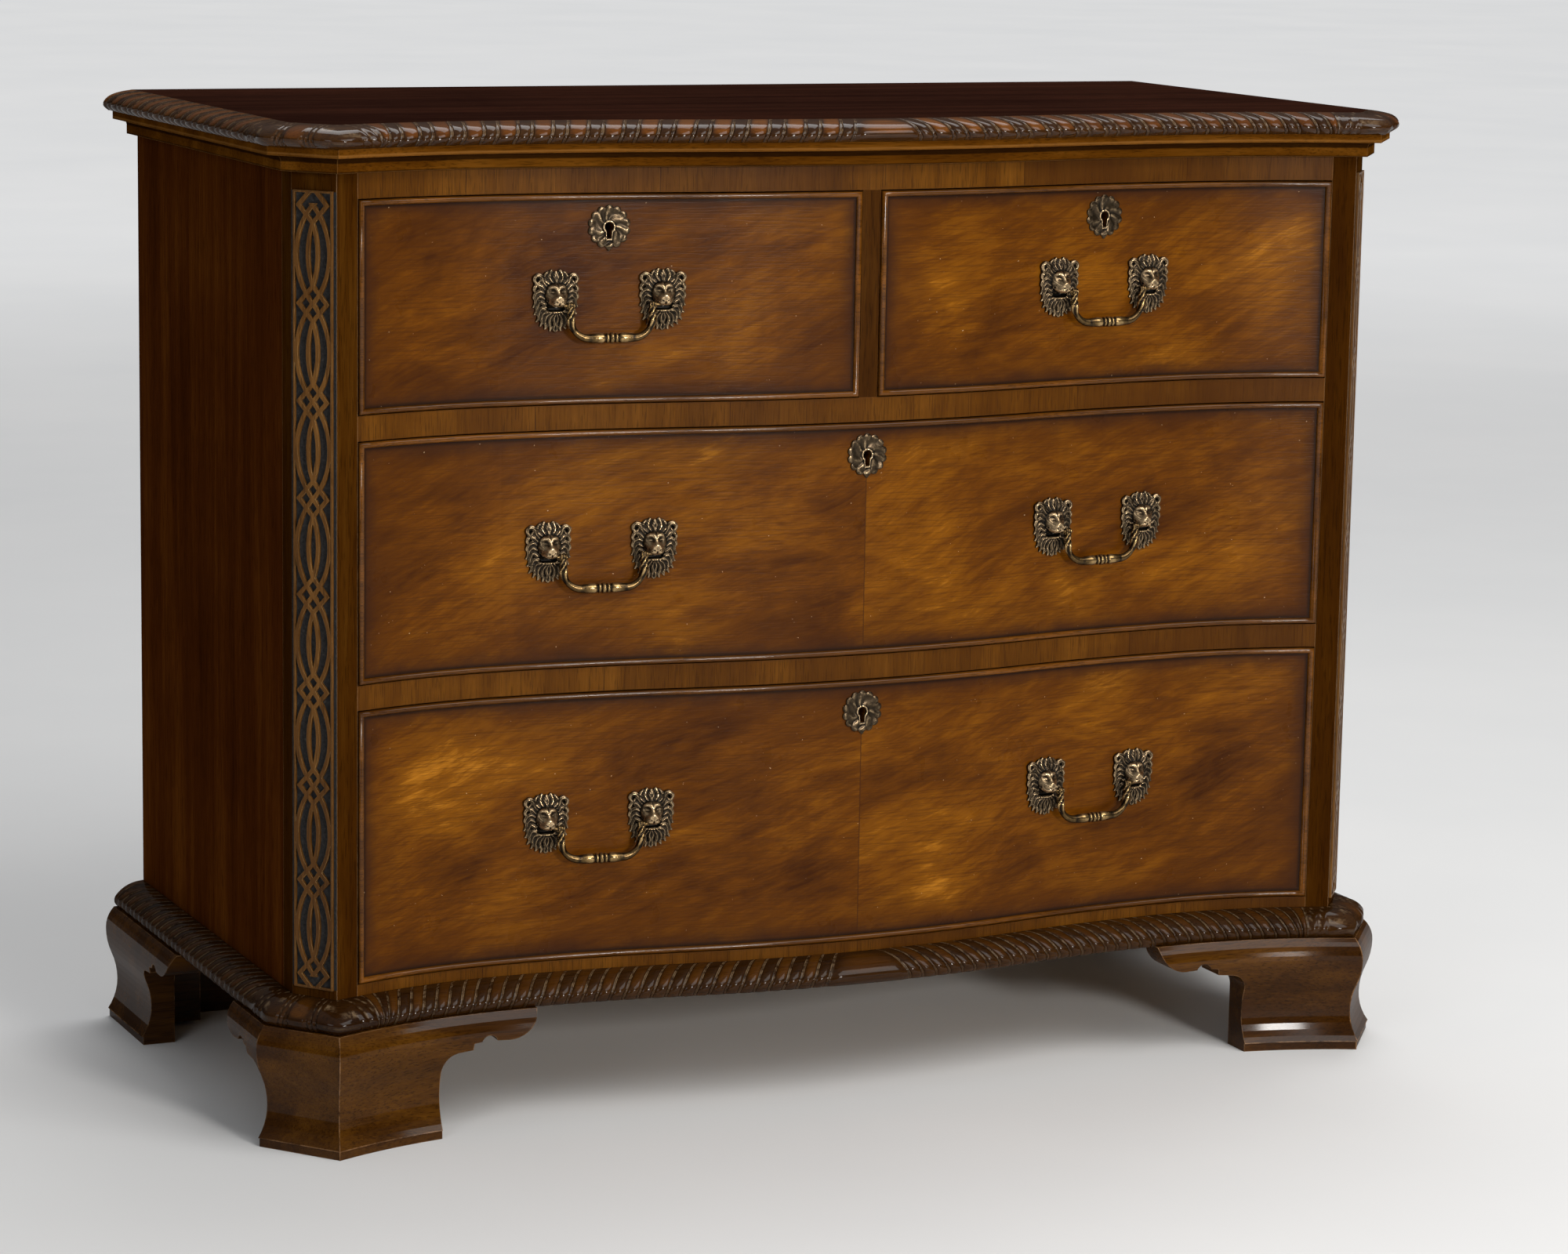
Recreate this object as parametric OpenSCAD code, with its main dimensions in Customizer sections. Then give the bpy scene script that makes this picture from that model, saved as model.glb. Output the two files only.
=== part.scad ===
// Serpentine chest of four drawers on ogee bracket feet. Millimetres, +Z up, front towards -Y.
// The origin is on the floor, in the middle of the outline of the whole chest.
// The chest is drawn from the vertical edge where the front meets the canted corner (y = 0),
// and the last step moves it so that the origin lies in the middle.

/* [Case] */
// Width of the case across its sides
case_w = 1064; // [1000:2:1140]
// Depth of the case from the front corner edge to the back
case_d = 500; // [450:5:560]
// Size of the canted corner along the front
cant_w = 28.5; // [24:0.5:34]
// Size of the canted corner along the side
cant_d = 36.5; // [30:0.5:44]
// Thickness of the side boards
side_t = 20; // [16:1:24]
// Thickness of the corner posts, seen from the side
post_d = 62; // [52:1:72]
// Distance from the side of the case to the drawer opening
post_w = 50; // [44:1:56]
// Thickness of the boards of the back
back_t = 11; // [8:1:14]
// Number of boards in the back
back_n = 3; // [2:1:5]
// Thickness of the board under the bottom drawer
floor_t = 18; // [14:1:20]
// Gap round each board of the back
back_gap = 0.5; // [0.2:0.1:1.5]

/* [Serpentine front] */
// Distance from the middle to the deepest point of each hollow
hollow_x = 343; // [325:1:360]
// How far back each hollow lies behind the swell
hollow_dip = 29; // [18:1:36]
// Radius of the swell in the middle
swell_r = 1040; // [800:10:1200]

/* [Heights] */
// Height of the feet up to the base moulding
foot_h = 109; // [95:1:125]
// Height of the rail under the bottom drawer
base_rail_h = 34; // [30:1:44]
// Height of the bottom drawer opening
low_h = 245.5; // [220:0.5:270]
// Height of the middle drawer opening
mid_h = 214.5; // [190:0.5:240]
// Height of the top drawer openings
top_h = 187; // [165:1:210]
// Thickness of the blades between the rows of drawers
blade_t = 22; // [18:1:28]
// Height of the rail above the top drawers
top_rail_h = 45; // [40:1:52]
// Thickness of the top board
top_t = 19; // [17:1:24]

/* [Rails and runners] */
// Depth of the blades and rails, front to back
blade_d = 78; // [62:1:100]
// Width of the divider between the top drawers
divider_w = 18; // [14:1:24]
// Thickness of the dust boards
dust_t = 8; // [6:1:10]
// Width of the runners, inwards from the side boards
runner_w = 52; // [44:1:64]
// Height of the guides that stand on the runners
guide_h = 24; // [16:1:32]
// Length of a blade's tenon in the corner post
tenon_l = 14; // [8:1:20]
// Clearance round a tenon
tenon_gap = 0.2; // [0.1:0.05:0.4]
// Width of a drawer stop
stop_w = 40; // [24:2:60]
// Depth of a drawer stop, front to back
stop_d = 18; // [12:1:26]
// Height of a drawer stop
stop_h = 5; // [3:0.5:7]

/* [Mouldings] */
// Reach of the edge of the top board from the case
top_reach = 3; // [1:1:8]
// Overhang of the top behind the case
top_back = 4; // [2:1:20]
// Reach of the carved edge of the top
top_nose = 33; // [28:1:38]
// Reach of the carved edge of the base
base_nose = 30; // [26:1:34]
// Height of the carved edge of the base
base_nose_h = 24; // [20:1:28]
// Depth of the carved grooves
groove = 3; // [1:0.5:4]
// Length of one pair of carved lobes
lobe_pair = 34; // [28:1:44]
// How far a lobe leans between its two ends
lobe_lean = 17; // [0:1:22]
// Length of the plain boss in the middle of a carved front
boss_l = 40; // [30:1:50]
// Length of the plain leaf beside each mitre of a carved edge
leaf_l = 26; // [20:1:32]
// Gap between a carved edge and the curved face behind it
curve_gap = 0.3; // [0.2:0.1:0.6]
// Reach of the upper fillet of the moulding under the top
fillet_reach = 24; // [20:0.5:27]
// Height of the upper fillet
fillet_h = 8; // [6:0.5:10]
// Radius of the hollow under the fillet
cove_r = 6; // [4:0.5:8]
// Gap at the mitres of the mouldings and feet
mitre_gap = 0.1; // [0.05:0.05:0.3]
// Reach of the lower band of the moulding under the top
band_reach = 10.5; // [8:0.5:13]
// Height of the lower band
band_h = 8; // [6:0.5:10]

/* [Feet] */
// Reach of the upper swelling of a foot
foot_bulge = 38; // [35:0.5:42]
// Reach of the waist of a foot
foot_waist = 27; // [25:0.5:30]
// Distance from the case to the back of the brackets
foot_in = 4; // [0:1:8]
// Height of the plain edge on the floor
foot_edge_h = 8; // [6:1:12]
// Position of the inner edge of a front column, from the middle of the chest
foot_col_x = 409; // [395:1:420]
// Length of the wing beyond a column
wing_l = 93; // [80:1:100]
// Width of the rear column on the side
rear_col = 116; // [90:1:130]
// Thickness of the plain brackets across the back
rear_bracket_t = 19; // [14:1:22]
// Width of the blocks glued inside the feet
block_w = 42; // [30:1:50]
// Gap between the pieces of a foot
joint_gap = 0.1; // [0.05:0.05:0.3]
// Distance from the base moulding down to the middle of a foot's swelling
bulge_drop = 20; // [17:0.5:23]
// Radius of the top of a foot's swelling
cap_r = 28; // [26:0.5:30]
// Radius of the arch cut beside a column
arch_r = 17; // [14:0.5:19]
// Distance from the base moulding down to the top of that arch
arch_drop = 32; // [30:0.5:34]
// Distance from the base moulding down to the step beyond the arch
step_drop = 25; // [22:0.5:28]

/* [Corner frets] */
// Width of the fret
fret_w = 40; // [36:0.5:42]
// Height of one repeat of the fret
fret_pitch = 84.4; // [78:0.2:86]
// Number of repeats
fret_n = 8; // [4:1:8]
// Height of the fret's lower end above the foot
fret_z = 32; // [26:1:36]
// Thickness of the fret
fret_t = 2.5; // [1.5:0.5:4]
// Width of its straps
strap_w = 3.6; // [2.5:0.1:4]

/* [Drawers] */
// Gap between a drawer front and its opening
front_gap = 1.1; // [0.5:0.1:1.5]
// Thickness of the drawer fronts
front_t = 24; // [18:1:28]
// Width of the cockbeads
bead_w = 5; // [3:0.5:6]
// How far a cockbead stands proud of the front
bead_out = 3.5; // [3:0.5:5]
// Depth of the rebate that holds the cockbead
bead_in = 10; // [6:1:14]
// Thickness of the drawer sides
box_t = 10; // [8:0.5:12]
// Thickness of the drawer backs
box_back_t = 9; // [7:0.5:12]
// Thickness of the drawer bottoms
bottom_t = 7; // [5:0.5:8]
// Depth of the grooves that hold the drawer bottom
bottom_in = 5; // [3:0.5:6]
// Clearance of the drawer bottom in its grooves
groove_gap = 0.2; // [0.1:0.05:0.4]
// Height of the drawer bottom above the runners
bottom_z = 9; // [7:0.5:12]
// Gap between a drawer and its runners, and between a drawer and its stops
run_gap = 0.3; // [0.2:0.1:0.6]
// Gap between a drawer side and its guide
side_gap = 1.6; // [1:0.1:2.5]
// Gap above the drawer sides
box_top_gap = 9; // [6:1:14]
// Space behind the drawer boxes
box_rear_gap = 18; // [8:1:40]

/* [Handles] */
// Distance of the handles from the middle of the chest
handle_x = 249; // [235:1:265]
// Distance of the top left handle and lock from the middle
left_handle_x = 244; // [235:1:265]
// Height of the bottom drawer's handles above the floor of its opening
low_handle_z = 124; // [110:0.5:140]
// Height of the middle drawer's handles above the floor of its opening
mid_handle_z = 102.5; // [90:0.5:115]
// Height of the top drawers' handles above the floor of their openings
top_handle_z = 89; // [80:0.5:95]
// Distance between the two masks of a handle
mask_pitch = 98; // [90:1:106]
// Width of a mask
mask_w = 41; // [38:0.5:44]
// Height of a mask
mask_h = 54; // [50:0.5:58]
// Thickness of a mask at its edge
mask_edge_t = 1.6; // [1.2:0.1:2]
// Height of a mask's muzzle
muzzle_h = 15; // [14:0.5:18]
// Distance from the drawer front to the pivot of a bail
pivot_out = 10.5; // [10:0.1:11.5]
// Radius of the pivot pins of a bail
pin_r = 1.5; // [1.2:0.1:1.8]
// Clearance round a pivot pin
pin_gap = 0.12; // [0.08:0.01:0.2]
// Length of a pivot pin inside a mask
pin_l = 4; // [3:0.5:5]
// Drop of a bail below its pivots
bail_drop = 29; // [24:0.5:34]
// Radius of a bail beside its middle
bail_r = 3; // [2.5:0.1:3.3]
// Radius of a bail at its bends
bend_bar_r = 2.1; // [1.8:0.1:2.4]
// Radius of a mask's muzzle
muzzle_r = 8; // [7.5:0.1:8.5]
// Width of the knuckle at each end of a bail
knuckle_w = 6; // [5:0.5:7]
// Gap between a knuckle and a muzzle
knuckle_gap = 0.4; // [0.3:0.1:0.8]
// Radius of a knuckle
knuckle_r = 3.6; // [3:0.1:4]
// Width of the ring in the middle of a bail
ring_w = 3; // [2:0.5:4]
// How far that ring stands out from the bail
ring_out = 1.7; // [1:0.1:2.2]
// Radius of the bends of a bail
bend_r = 11; // [9:0.5:13]
// Gap between the brass fittings and the drawer front
mount_gap = 0.25; // [0.2:0.05:0.4]
// Radius of the studs that hold the masks
stud_r = 2.4; // [2:0.1:3]
// Length of a stud inside a mask
stud_in = 4; // [3:0.5:4.5]
// Clearance round a stud
stud_gap = 0.3; // [0.2:0.1:0.5]
// Size of the nuts across
nut_w = 13; // [10:0.5:16]
// Thickness of the nuts
nut_t = 4; // [3:0.5:5]

/* [Locks] */
// Distance from the top of an opening down to the keyhole
key_drop = 30; // [28:1:34]
// Radius of the round part of a keyhole
key_r = 3.6; // [3:0.1:4]
// Width of the slot of a keyhole
key_slot = 4.4; // [4.2:0.1:5]
// Distance from the round part down to the end of the slot
key_l = 10; // [8:0.5:12]
// Radius of an escutcheon without its petals
plate_r = 17; // [15:0.5:19]
// Thickness of an escutcheon
plate_t = 1.8; // [1.2:0.1:2.5]
// Width of the raised rim round a keyhole
key_rim = 2.6; // [2:0.1:3.2]
// Height of that rim above the escutcheon
key_rim_h = 1; // [0.5:0.1:1.5]
// Clearance of the keyhole in a lock
key_gap = 0.4; // [0.3:0.1:0.6]
// Width of a lock
lock_w = 64; // [50:2:80]
// Depth of a lock
lock_d = 13; // [10:0.5:16]
// Height of a lock
lock_h = 46; // [42:1:52]
// Depth of the recess that the lock sits in
lock_in = 4; // [2:1:6]

/* [Hidden] */
$fa = 1.5;
$fs = 0.8;
arc_fn = 256;
far = 700;

// Plan of the front: a swell between two hollows, all arcs tangent to each other
half_w = case_w / 2;
corner_x = half_w - cant_w;
arc_sum = (hollow_x * hollow_x / hollow_dip + hollow_dip) / 2;
hollow_r = arc_sum - swell_r;
turn = asin(hollow_x / arc_sum);
end_x = corner_x - hollow_x;
end_r = (end_x * end_x + hollow_dip * hollow_dip) / (2 * hollow_dip);
end_turn = asin(end_x / end_r);
swell_c = [0, swell_r];
hollow_c = [hollow_x, hollow_dip - hollow_r];
end_c = [hollow_x, hollow_dip - end_r];
function swell_edge(o) = (swell_r + o) * sin(turn);
function front_y(x, o = 0) = let (a = abs(x))
    a < swell_edge(o) ? swell_r - sqrt(pow(swell_r + o, 2) - a * a)
    : a < hollow_x ? hollow_c.y + sqrt(pow(hollow_r - o, 2) - pow(hollow_x - a, 2))
    : end_c.y + sqrt(pow(end_r - o, 2) - pow(a - hollow_x, 2));
function front_turn(x) = let (a = abs(x)) sign(x) * (
    a < swell_edge(0) ? asin(a / swell_r)
    : a < hollow_x ? asin((hollow_x - a) / hollow_r)
    : -asin((a - hollow_x) / end_r));

// The canted corner: its two edges, the normals that meet there, and its mitres
cant_l = norm([cant_w, cant_d]);
cant_n = [cant_d, -cant_w] / cant_l;
cant_way = [cant_w, cant_d] / cant_l;
end_n = [-sin(end_turn), -cos(end_turn)];
side_n = [1, 0];
front_edge = [corner_x, 0];
side_edge = [half_w, cant_d];
front_mitre = (cant_n + end_n) / (1 + cant_n * end_n);
side_mitre = (cant_n + side_n) / (1 + cant_n * side_n);
function corner_b(o) = front_edge + o * front_mitre;
function corner_a(o) = side_edge + o * side_mitre;

// Heights of the parts, from the floor up
low_z = foot_h + base_rail_h;
blade_low_z = low_z + low_h;
mid_z = blade_low_z + blade_t;
blade_up_z = mid_z + mid_h;
top_z = blade_up_z + blade_t;
top_rail_z = top_z + top_h;
top_board_z = top_rail_z + top_rail_h;
total_h = top_board_z + top_t;
opening_z = [low_z, mid_z, top_z, top_z];
opening_h = [low_h, mid_h, top_h, top_h];
handle_z = [low_handle_z, mid_handle_z, top_handle_z, top_handle_z];
opening_x = half_w - post_w;
inner_x = half_w - side_t;
case_back = case_d - back_t;
drawer_back = case_back - box_rear_gap;
top_end = case_d + top_back;

// The origin lies midway between the feet's front corners and the back of the top
front_reach = -corner_b(foot_bulge).y;
y_shift = (front_reach - top_end) / 2;

// The drawers: 0 bottom, 1 middle, 2 top left, 3 top right
LOW = 0;
MID = 1;
TL = 2;
TR = 3;
function left_x(d) = d == TR ? divider_w / 2 : -opening_x;
function right_x(d) = d == TL ? -divider_w / 2 : opening_x;
function lock_x(d) = d == TL ? -left_handle_x : d == TR ? handle_x : 0;
function handles(d) = d == TL ? [-left_handle_x] : d == TR ? [handle_x] : [-handle_x, handle_x];
function pivot_z(d) = opening_z[d] + handle_z[d];
function key_z(d) = opening_z[d] + opening_h[d] - key_drop;

mahogany = [0.47, 0.24, 0.09];
flame = [0.64, 0.36, 0.12];
dark = [0.27, 0.12, 0.06];
oak = [0.66, 0.5, 0.32];
brass = [0.45, 0.36, 0.2];
steel = [0.42, 0.42, 0.43];

module placed() translate([0, y_shift, 0]) children();
module both_sides() {
    children();
    mirror([1, 0, 0]) children();
}
module at_front(x, z) translate([x, front_y(x), z]) rotate([0, 0, front_turn(x)]) children();

// Outline behind the front curve, moved out by o, between two sides and as far as y_back
module behind(o, x0, x1, y_back) difference() {
    translate([x0, end_c.y]) square([x1 - x0, y_back - end_c.y]);
    difference() {
        translate([-swell_edge(o), -far - 1]) square([2 * swell_edge(o), far + hollow_dip]);
        translate(swell_c) circle(r = swell_r + o, $fn = arc_fn);
    }
    for (m = [0, 1]) mirror([m, 0]) {
        intersection() {
            translate(hollow_c) circle(r = hollow_r - o, $fn = arc_fn);
            translate([0, -2 * far]) square([hollow_x, 3 * far]);
        }
        translate(end_c) circle(r = end_r - o, $fn = arc_fn);
    }
}

// Outline of the whole chest, moved out by o on the front, the corners and the sides
module plan(o, y_back) intersection() {
    behind(o, -half_w - post_d, half_w + post_d, y_back);
    polygon([
        for (s = [1, -1], p = s > 0
            ? [[half_w + o, y_back], corner_a(o), corner_a(o) - 3 * cant_l * cant_way]
            : [corner_a(o) - 3 * cant_l * cant_way, corner_a(o), [half_w + o, y_back]])
            [s * p.x, p.y]
    ]);
}

module slab(z0, z1) translate([0, 0, z0]) linear_extrude(z1 - z0) children();

// Runs of a moulding. The section is drawn with x as the reach from the case and y as the height.
// The mitre planes run from mitre_in behind the case edge to mitre_out before it
mitre_in = 34;
mitre_out = 60;
module swell_half() translate(swell_c) rotate_extrude(angle = turn, start = -90, $fn = arc_fn)
    translate([swell_r, 0]) children();
module hollow_run() translate(hollow_c) rotate_extrude(angle = turn, start = 90, $fn = arc_fn)
    translate([hollow_r, 0]) mirror([1, 0]) children();
module end_run(from_x = 0) intersection() {
    translate(end_c)
        rotate_extrude(angle = 1.6 * end_turn, start = 90 - 1.4 * end_turn, $fn = arc_fn)
            translate([end_r, 0]) mirror([1, 0]) children();
    translate([0, 0, -far]) linear_extrude(3 * far) polygon([
        corner_b(-mitre_in), corner_b(mitre_out), [hollow_x - from_x, -mitre_out * 2],
        [hollow_x - from_x, 2 * post_d]
    ]);
}
module cant_run() intersection() {
    translate(side_edge) rotate([0, 0, atan2(cant_n.y, cant_n.x)]) rotate([90, 0, 0])
        translate([0, 0, -cant_l]) linear_extrude(3 * cant_l) children();
    translate([0, 0, -far]) linear_extrude(3 * far) polygon([
        corner_a(-mitre_in) - mitre_gap * cant_way, corner_a(mitre_out) - mitre_gap * cant_way,
        corner_b(mitre_out) + mitre_gap * cant_way, corner_b(-mitre_in) + mitre_gap * cant_way
    ]);
}
module side_run(y_end) intersection() {
    translate([half_w, y_end, 0]) rotate([90, 0, 0]) linear_extrude(y_end + cant_d) children();
    translate([0, 0, -far]) linear_extrude(3 * far) polygon([
        corner_a(-mitre_in), corner_a(mitre_out), [half_w + mitre_out, y_end + 1],
        [half_w - mitre_in, y_end + 1]
    ]);
}
module full_run(y_end) both_sides() {
    swell_half() children();
    hollow_run() children();
    end_run() children();
    cant_run() children();
    side_run(y_end) children();
}

// Case
module side_board() color(dark) placed() difference() {
    translate([inner_x, post_d, foot_h]) cube([side_t, case_d - post_d, top_board_z - foot_h]);
    translate([inner_x - 1, case_back, foot_h - 1])
        cube([side_t / 2 + 1, back_t + 1, top_board_z - foot_h + 2]);
}
module left_side() mirror([1, 0, 0]) side_board();
module right_side() side_board();

module back_boards() color(oak) placed() {
    wide = 2 * half_w - side_t;
    high = (top_board_z - foot_h) / back_n;
    for (i = [0 : back_n - 1])
        translate([-wide / 2 + back_gap, case_back, foot_h + i * high + back_gap])
            cube([wide - 2 * back_gap, back_t, high - 2 * back_gap]);
}

module case_bottom() color(oak) placed()
    translate([-inner_x, post_d, foot_h]) cube([2 * inner_x, case_back - post_d, floor_t]);

module tenon_cut(z) translate([opening_x - 1, blade_d / 3 - tenon_gap, z - tenon_gap])
    cube([tenon_l + 1 + tenon_gap, blade_d / 3 + 2 * tenon_gap, blade_t / 2 + 2 * tenon_gap]);
function tenon_z(z) = z + blade_t / 4;
module corner_post() color(mahogany) placed() difference() {
    slab(foot_h, top_board_z) intersection() {
        plan(0, post_d);
        translate([opening_x, -far]) square([post_w, 2 * far]);
    }
    for (z = [blade_low_z, blade_up_z]) tenon_cut(tenon_z(z));
}
module corner_post_left() mirror([1, 0, 0]) corner_post();
module corner_post_right() corner_post();

module blade_body(z) {
    slab(z, z + blade_t) behind(0, -opening_x, opening_x, blade_d);
    both_sides() translate([opening_x - 1, blade_d / 3, tenon_z(z)])
        cube([tenon_l + 1, blade_d / 3, blade_t / 2]);
}
module upper_blade() color(mahogany) placed() blade_body(blade_up_z);
module lower_blade() color(mahogany) placed() blade_body(blade_low_z);
module bottom_rail() color(mahogany) placed()
    slab(foot_h, low_z) behind(0, -opening_x, opening_x, post_d);
module top_rail() color(mahogany) placed()
    slab(top_rail_z, top_board_z) behind(0, -opening_x, opening_x, blade_d);
module top_divider() color(mahogany) placed()
    slab(top_z, top_rail_z) behind(0, -divider_w / 2, divider_w / 2, blade_d);

// Runners carry the drawers, guides steer them, kickers keep them level and stops end their travel
module runner_pair(z, y0, high) both_sides()
    translate([inner_x - runner_w, y0, z - high]) cube([runner_w, case_back - y0, high]);
module guide_pair(z) both_sides()
    translate([opening_x, post_d, z]) cube([inner_x - opening_x, case_back - post_d, guide_h]);
module stop_at(x, z) at_front(x, z) translate([-stop_w / 2, front_t + run_gap, 0])
    cube([stop_w, stop_d, stop_h]);
module drawer_runners() color(oak) placed() {
    runner_pair(low_z, post_d, base_rail_h - floor_t);
    guide_pair(low_z);
    for (z = [mid_z, top_z]) {
        runner_pair(z, blade_d, blade_t);
        guide_pair(z);
    }
    runner_pair(top_board_z, blade_d, top_rail_h);
    translate([-runner_w / 2, blade_d, top_z - blade_t])
        cube([runner_w, case_back - blade_d, blade_t]);
    translate([-divider_w / 2, blade_d, top_z])
        cube([divider_w, case_back - blade_d, guide_h]);
    translate([-runner_w / 2, blade_d, top_rail_z])
        cube([runner_w, case_back - blade_d, top_rail_h]);
    for (z = [low_z, mid_z, top_z], x = [-handle_x, handle_x]) stop_at(x, z);
}

module dust_boards() color(oak) placed() {
    free = inner_x - runner_w;
    z_up = blade_up_z + (blade_t - dust_t) / 2;
    translate([-free, blade_d, blade_low_z + (blade_t - dust_t) / 2])
        cube([2 * free, case_back - blade_d, dust_t]);
    both_sides() translate([runner_w / 2, blade_d, z_up])
        cube([free - runner_w / 2, case_back - blade_d, dust_t]);
}

// Fret on the canted corners: pointed ovals with a lens inside, laced by crossing straps
module strap_arc(sag, chord) {
    r = (chord * chord / 4 + sag * sag) / (2 * sag);
    for (m = [0, 1]) mirror([m, 0]) intersection() {
        translate([sag - r, 0]) difference() {
            circle(r = r + strap_w / 2);
            circle(r = r - strap_w / 2);
        }
        translate([-strap_w, -chord / 2 - strap_w / 2]) square([sag * 2 + strap_w, chord + strap_w]);
    }
}
module diamond(w, h) polygon([[w, 0], [0, h], [-w, 0], [0, -h]]);
module fret_plan() {
    oval_sag = fret_w * 0.425;
    lens_sag = fret_w * 0.125;
    knot = fret_pitch * 0.18;
    end = fret_pitch * 0.147;
    high = fret_n * fret_pitch + 2 * end;
    slant = strap_w * 0.72;
    intersection() {
        translate([-fret_w / 2, 0]) square([fret_w, high]);
        union() {
            difference() {
                translate([-fret_w / 2, 0]) square([fret_w, high]);
                translate([-fret_w / 2 + strap_w / 2, strap_w / 2])
                    square([fret_w - strap_w, high - strap_w]);
            }
            for (i = [0 : fret_n - 1]) translate([0, end + (i + 0.5) * fret_pitch]) {
                strap_arc(oval_sag, fret_pitch);
                strap_arc(lens_sag, fret_pitch - 2 * knot);
            }
            for (i = [0 : fret_n]) translate([0, end + i * fret_pitch]) difference() {
                diamond(oval_sag * 0.85 + slant, knot + slant);
                diamond(oval_sag * 0.85 - slant, knot - slant);
            }
        }
    }
}
module fret_panel() translate(corner_mid()) rotate([0, 0, 90 + atan2(cant_n.y, cant_n.x)])
    rotate([90, 0, 0]) linear_extrude(fret_t) fret_plan();
function corner_mid() = [(front_edge.x + side_edge.x) / 2, (front_edge.y + side_edge.y) / 2,
    foot_h + fret_z];
module corner_frets() color(mahogany) placed() both_sides() fret_panel();

// Top and mouldings
module top_board() color(dark) placed() slab(top_board_z, total_h) plan(top_reach, top_end);

module top_section() {
    translate([0, -fillet_h]) square([fillet_reach, fillet_h]);
    low = fillet_h + cove_r;
    difference() {
        translate([0, -low]) square([band_reach + cove_r, cove_r]);
        translate([band_reach + cove_r, -low]) circle(r = cove_r);
    }
    translate([0, -low - band_h]) square([band_reach, band_h]);
}
module top_moulding() color(mahogany) placed()
    translate([0, 0, top_board_z]) full_run(case_d) top_section();

// Gadroons: a rounded nose cut into leaning lobes, swept round the front, corners and sides
function top_nose_section() = [
    [top_reach + 1, 0], [top_nose - 17, -1.6], [top_nose - 6, -5], [top_nose, -11],
    [top_nose - 0.5, -15], [top_nose - 5, -top_t]
];
function base_nose_section() = [
    [1, 0], [base_nose - 18, -1.5], [base_nose - 8, -6], [base_nose - 1, -13],
    [base_nose, -19], [base_nose - 3.5, -base_nose_h]
];
relief = [0.1, 0.7, 1, 1, 0.9, 0.5];
swell_l = swell_r * turn * PI / 180;
hollow_l = hollow_r * turn * PI / 180;
front_l = swell_l + hollow_l + end_r * end_turn * PI / 180;
function deg(l, r) = l / r * 180 / PI;
function ray(c, r, a) = [c.x + r * cos(a), c.y + r * sin(a)];
// A station is [zone, distance, groove depth, lean]; a point on its base line comes with its normal
function base_line(zone, s) =
    zone == 0 ? (
        s < swell_l ? let (a = -90 + deg(s, swell_r)) [ray(swell_c, swell_r, a), [cos(a), sin(a)]]
        : s < swell_l + hollow_l ? let (a = 90 + turn - deg(s - swell_l, hollow_r))
            [ray(hollow_c, hollow_r, a), -[cos(a), sin(a)]]
        : let (a = 90 - deg(s - swell_l - hollow_l, end_r)) [ray(end_c, end_r, a), -[cos(a), sin(a)]])
    : zone == 1 ? [front_edge, front_mitre]
    : zone == 2 ? [front_edge + s * cant_way, cant_n]
    : zone == 3 ? [side_edge, side_mitre]
    : [side_edge + [0, s], side_n];
// Grooves and crests of n pairs of lobes between two distances, with the lean easing off at the end
function lobes(zone, s0, s1, n) = let (u = (s1 - s0) / n) [
    for (i = [0 : n - 1], c = [[0, 1], [0.17, 0], [0.34, 0.7], [0.52, 0], [0.84, 0]])
        let (s = s0 + (i + c[0]) * u)
            [zone, s, c[1], lobe_lean * min(1, (s1 - s) / (1.5 * lobe_lean + 0.01))],
    [zone, s1, 0.6, 0]
];
function gadroon_half(side_l) = let (
    front_n = round((front_l - leaf_l - boss_l / 2) / lobe_pair),
    side_count = round((side_l - leaf_l) / lobe_pair)
) concat(
    [[0, 0, -0.5, 0], [0, boss_l / 6, -0.4, 0], [0, boss_l / 3, 0, 0]],
    lobes(0, boss_l / 2, front_l - leaf_l, front_n),
    [[0, front_l - leaf_l / 2, 0, 0], [1, 0, 0.2, 0]],
    [for (c = [[0.1, 0.5], [0.22, 0], [0.33, 0.8], [0.5, -0.7], [0.67, 0.8], [0.78, 0], [0.9, 0.5]])
        [2, c[0] * cant_l, c[1], 0]],
    [[3, 0, 0.2, 0], [4, leaf_l / 2, 0, 0]],
    lobes(4, leaf_l, side_l, side_count)
);
function gadroon_point(station, side, p, depth, lean) = let (
    b = base_line(station[0], station[1] + station[3] * lean),
    q = b[0] + b[1] * (p[0] - groove * depth * station[2])
) [side * q.x, q.y, p[1]];
module gadroon(section, inner, high, side_l) {
    half = gadroon_half(side_l);
    n = len(half);
    ring = concat([[inner, -high], [inner, 0]], section);
    m = len(ring);
    points = [
        for (i = [1 - n : n - 1], j = [0 : m - 1]) let (
            carved = j > 1,
            t = carved ? (j - 2) / (m - 3) : 0
        ) gadroon_point(half[abs(i)], i < 0 ? -1 : 1, ring[j], carved ? relief[j - 2] : 0,
            carved ? sin(90 * t) : 0)
    ];
    last = 2 * n - 2;
    faces = concat(
        [[for (j = [0 : m - 1]) j]],
        [[for (j = [m - 1 : -1 : 0]) last * m + j]],
        [for (i = [0 : last - 1], j = [0 : m - 1]) let (k = (j + 1) % m)
            each [[i * m + j, (i + 1) * m + j, i * m + k],
                [i * m + k, (i + 1) * m + j, (i + 1) * m + k]]]
    );
    polyhedron(points = points, faces = faces);
}
module top_gadroon() color(dark) placed() translate([0, 0, total_h])
    gadroon(top_nose_section(), top_reach + curve_gap, top_t, top_end - cant_d);
module base_gadroon() color(dark) placed() translate([0, 0, foot_h + base_nose_h])
    gadroon(base_nose_section(), curve_gap, base_nose_h, case_d - cant_d);

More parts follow.
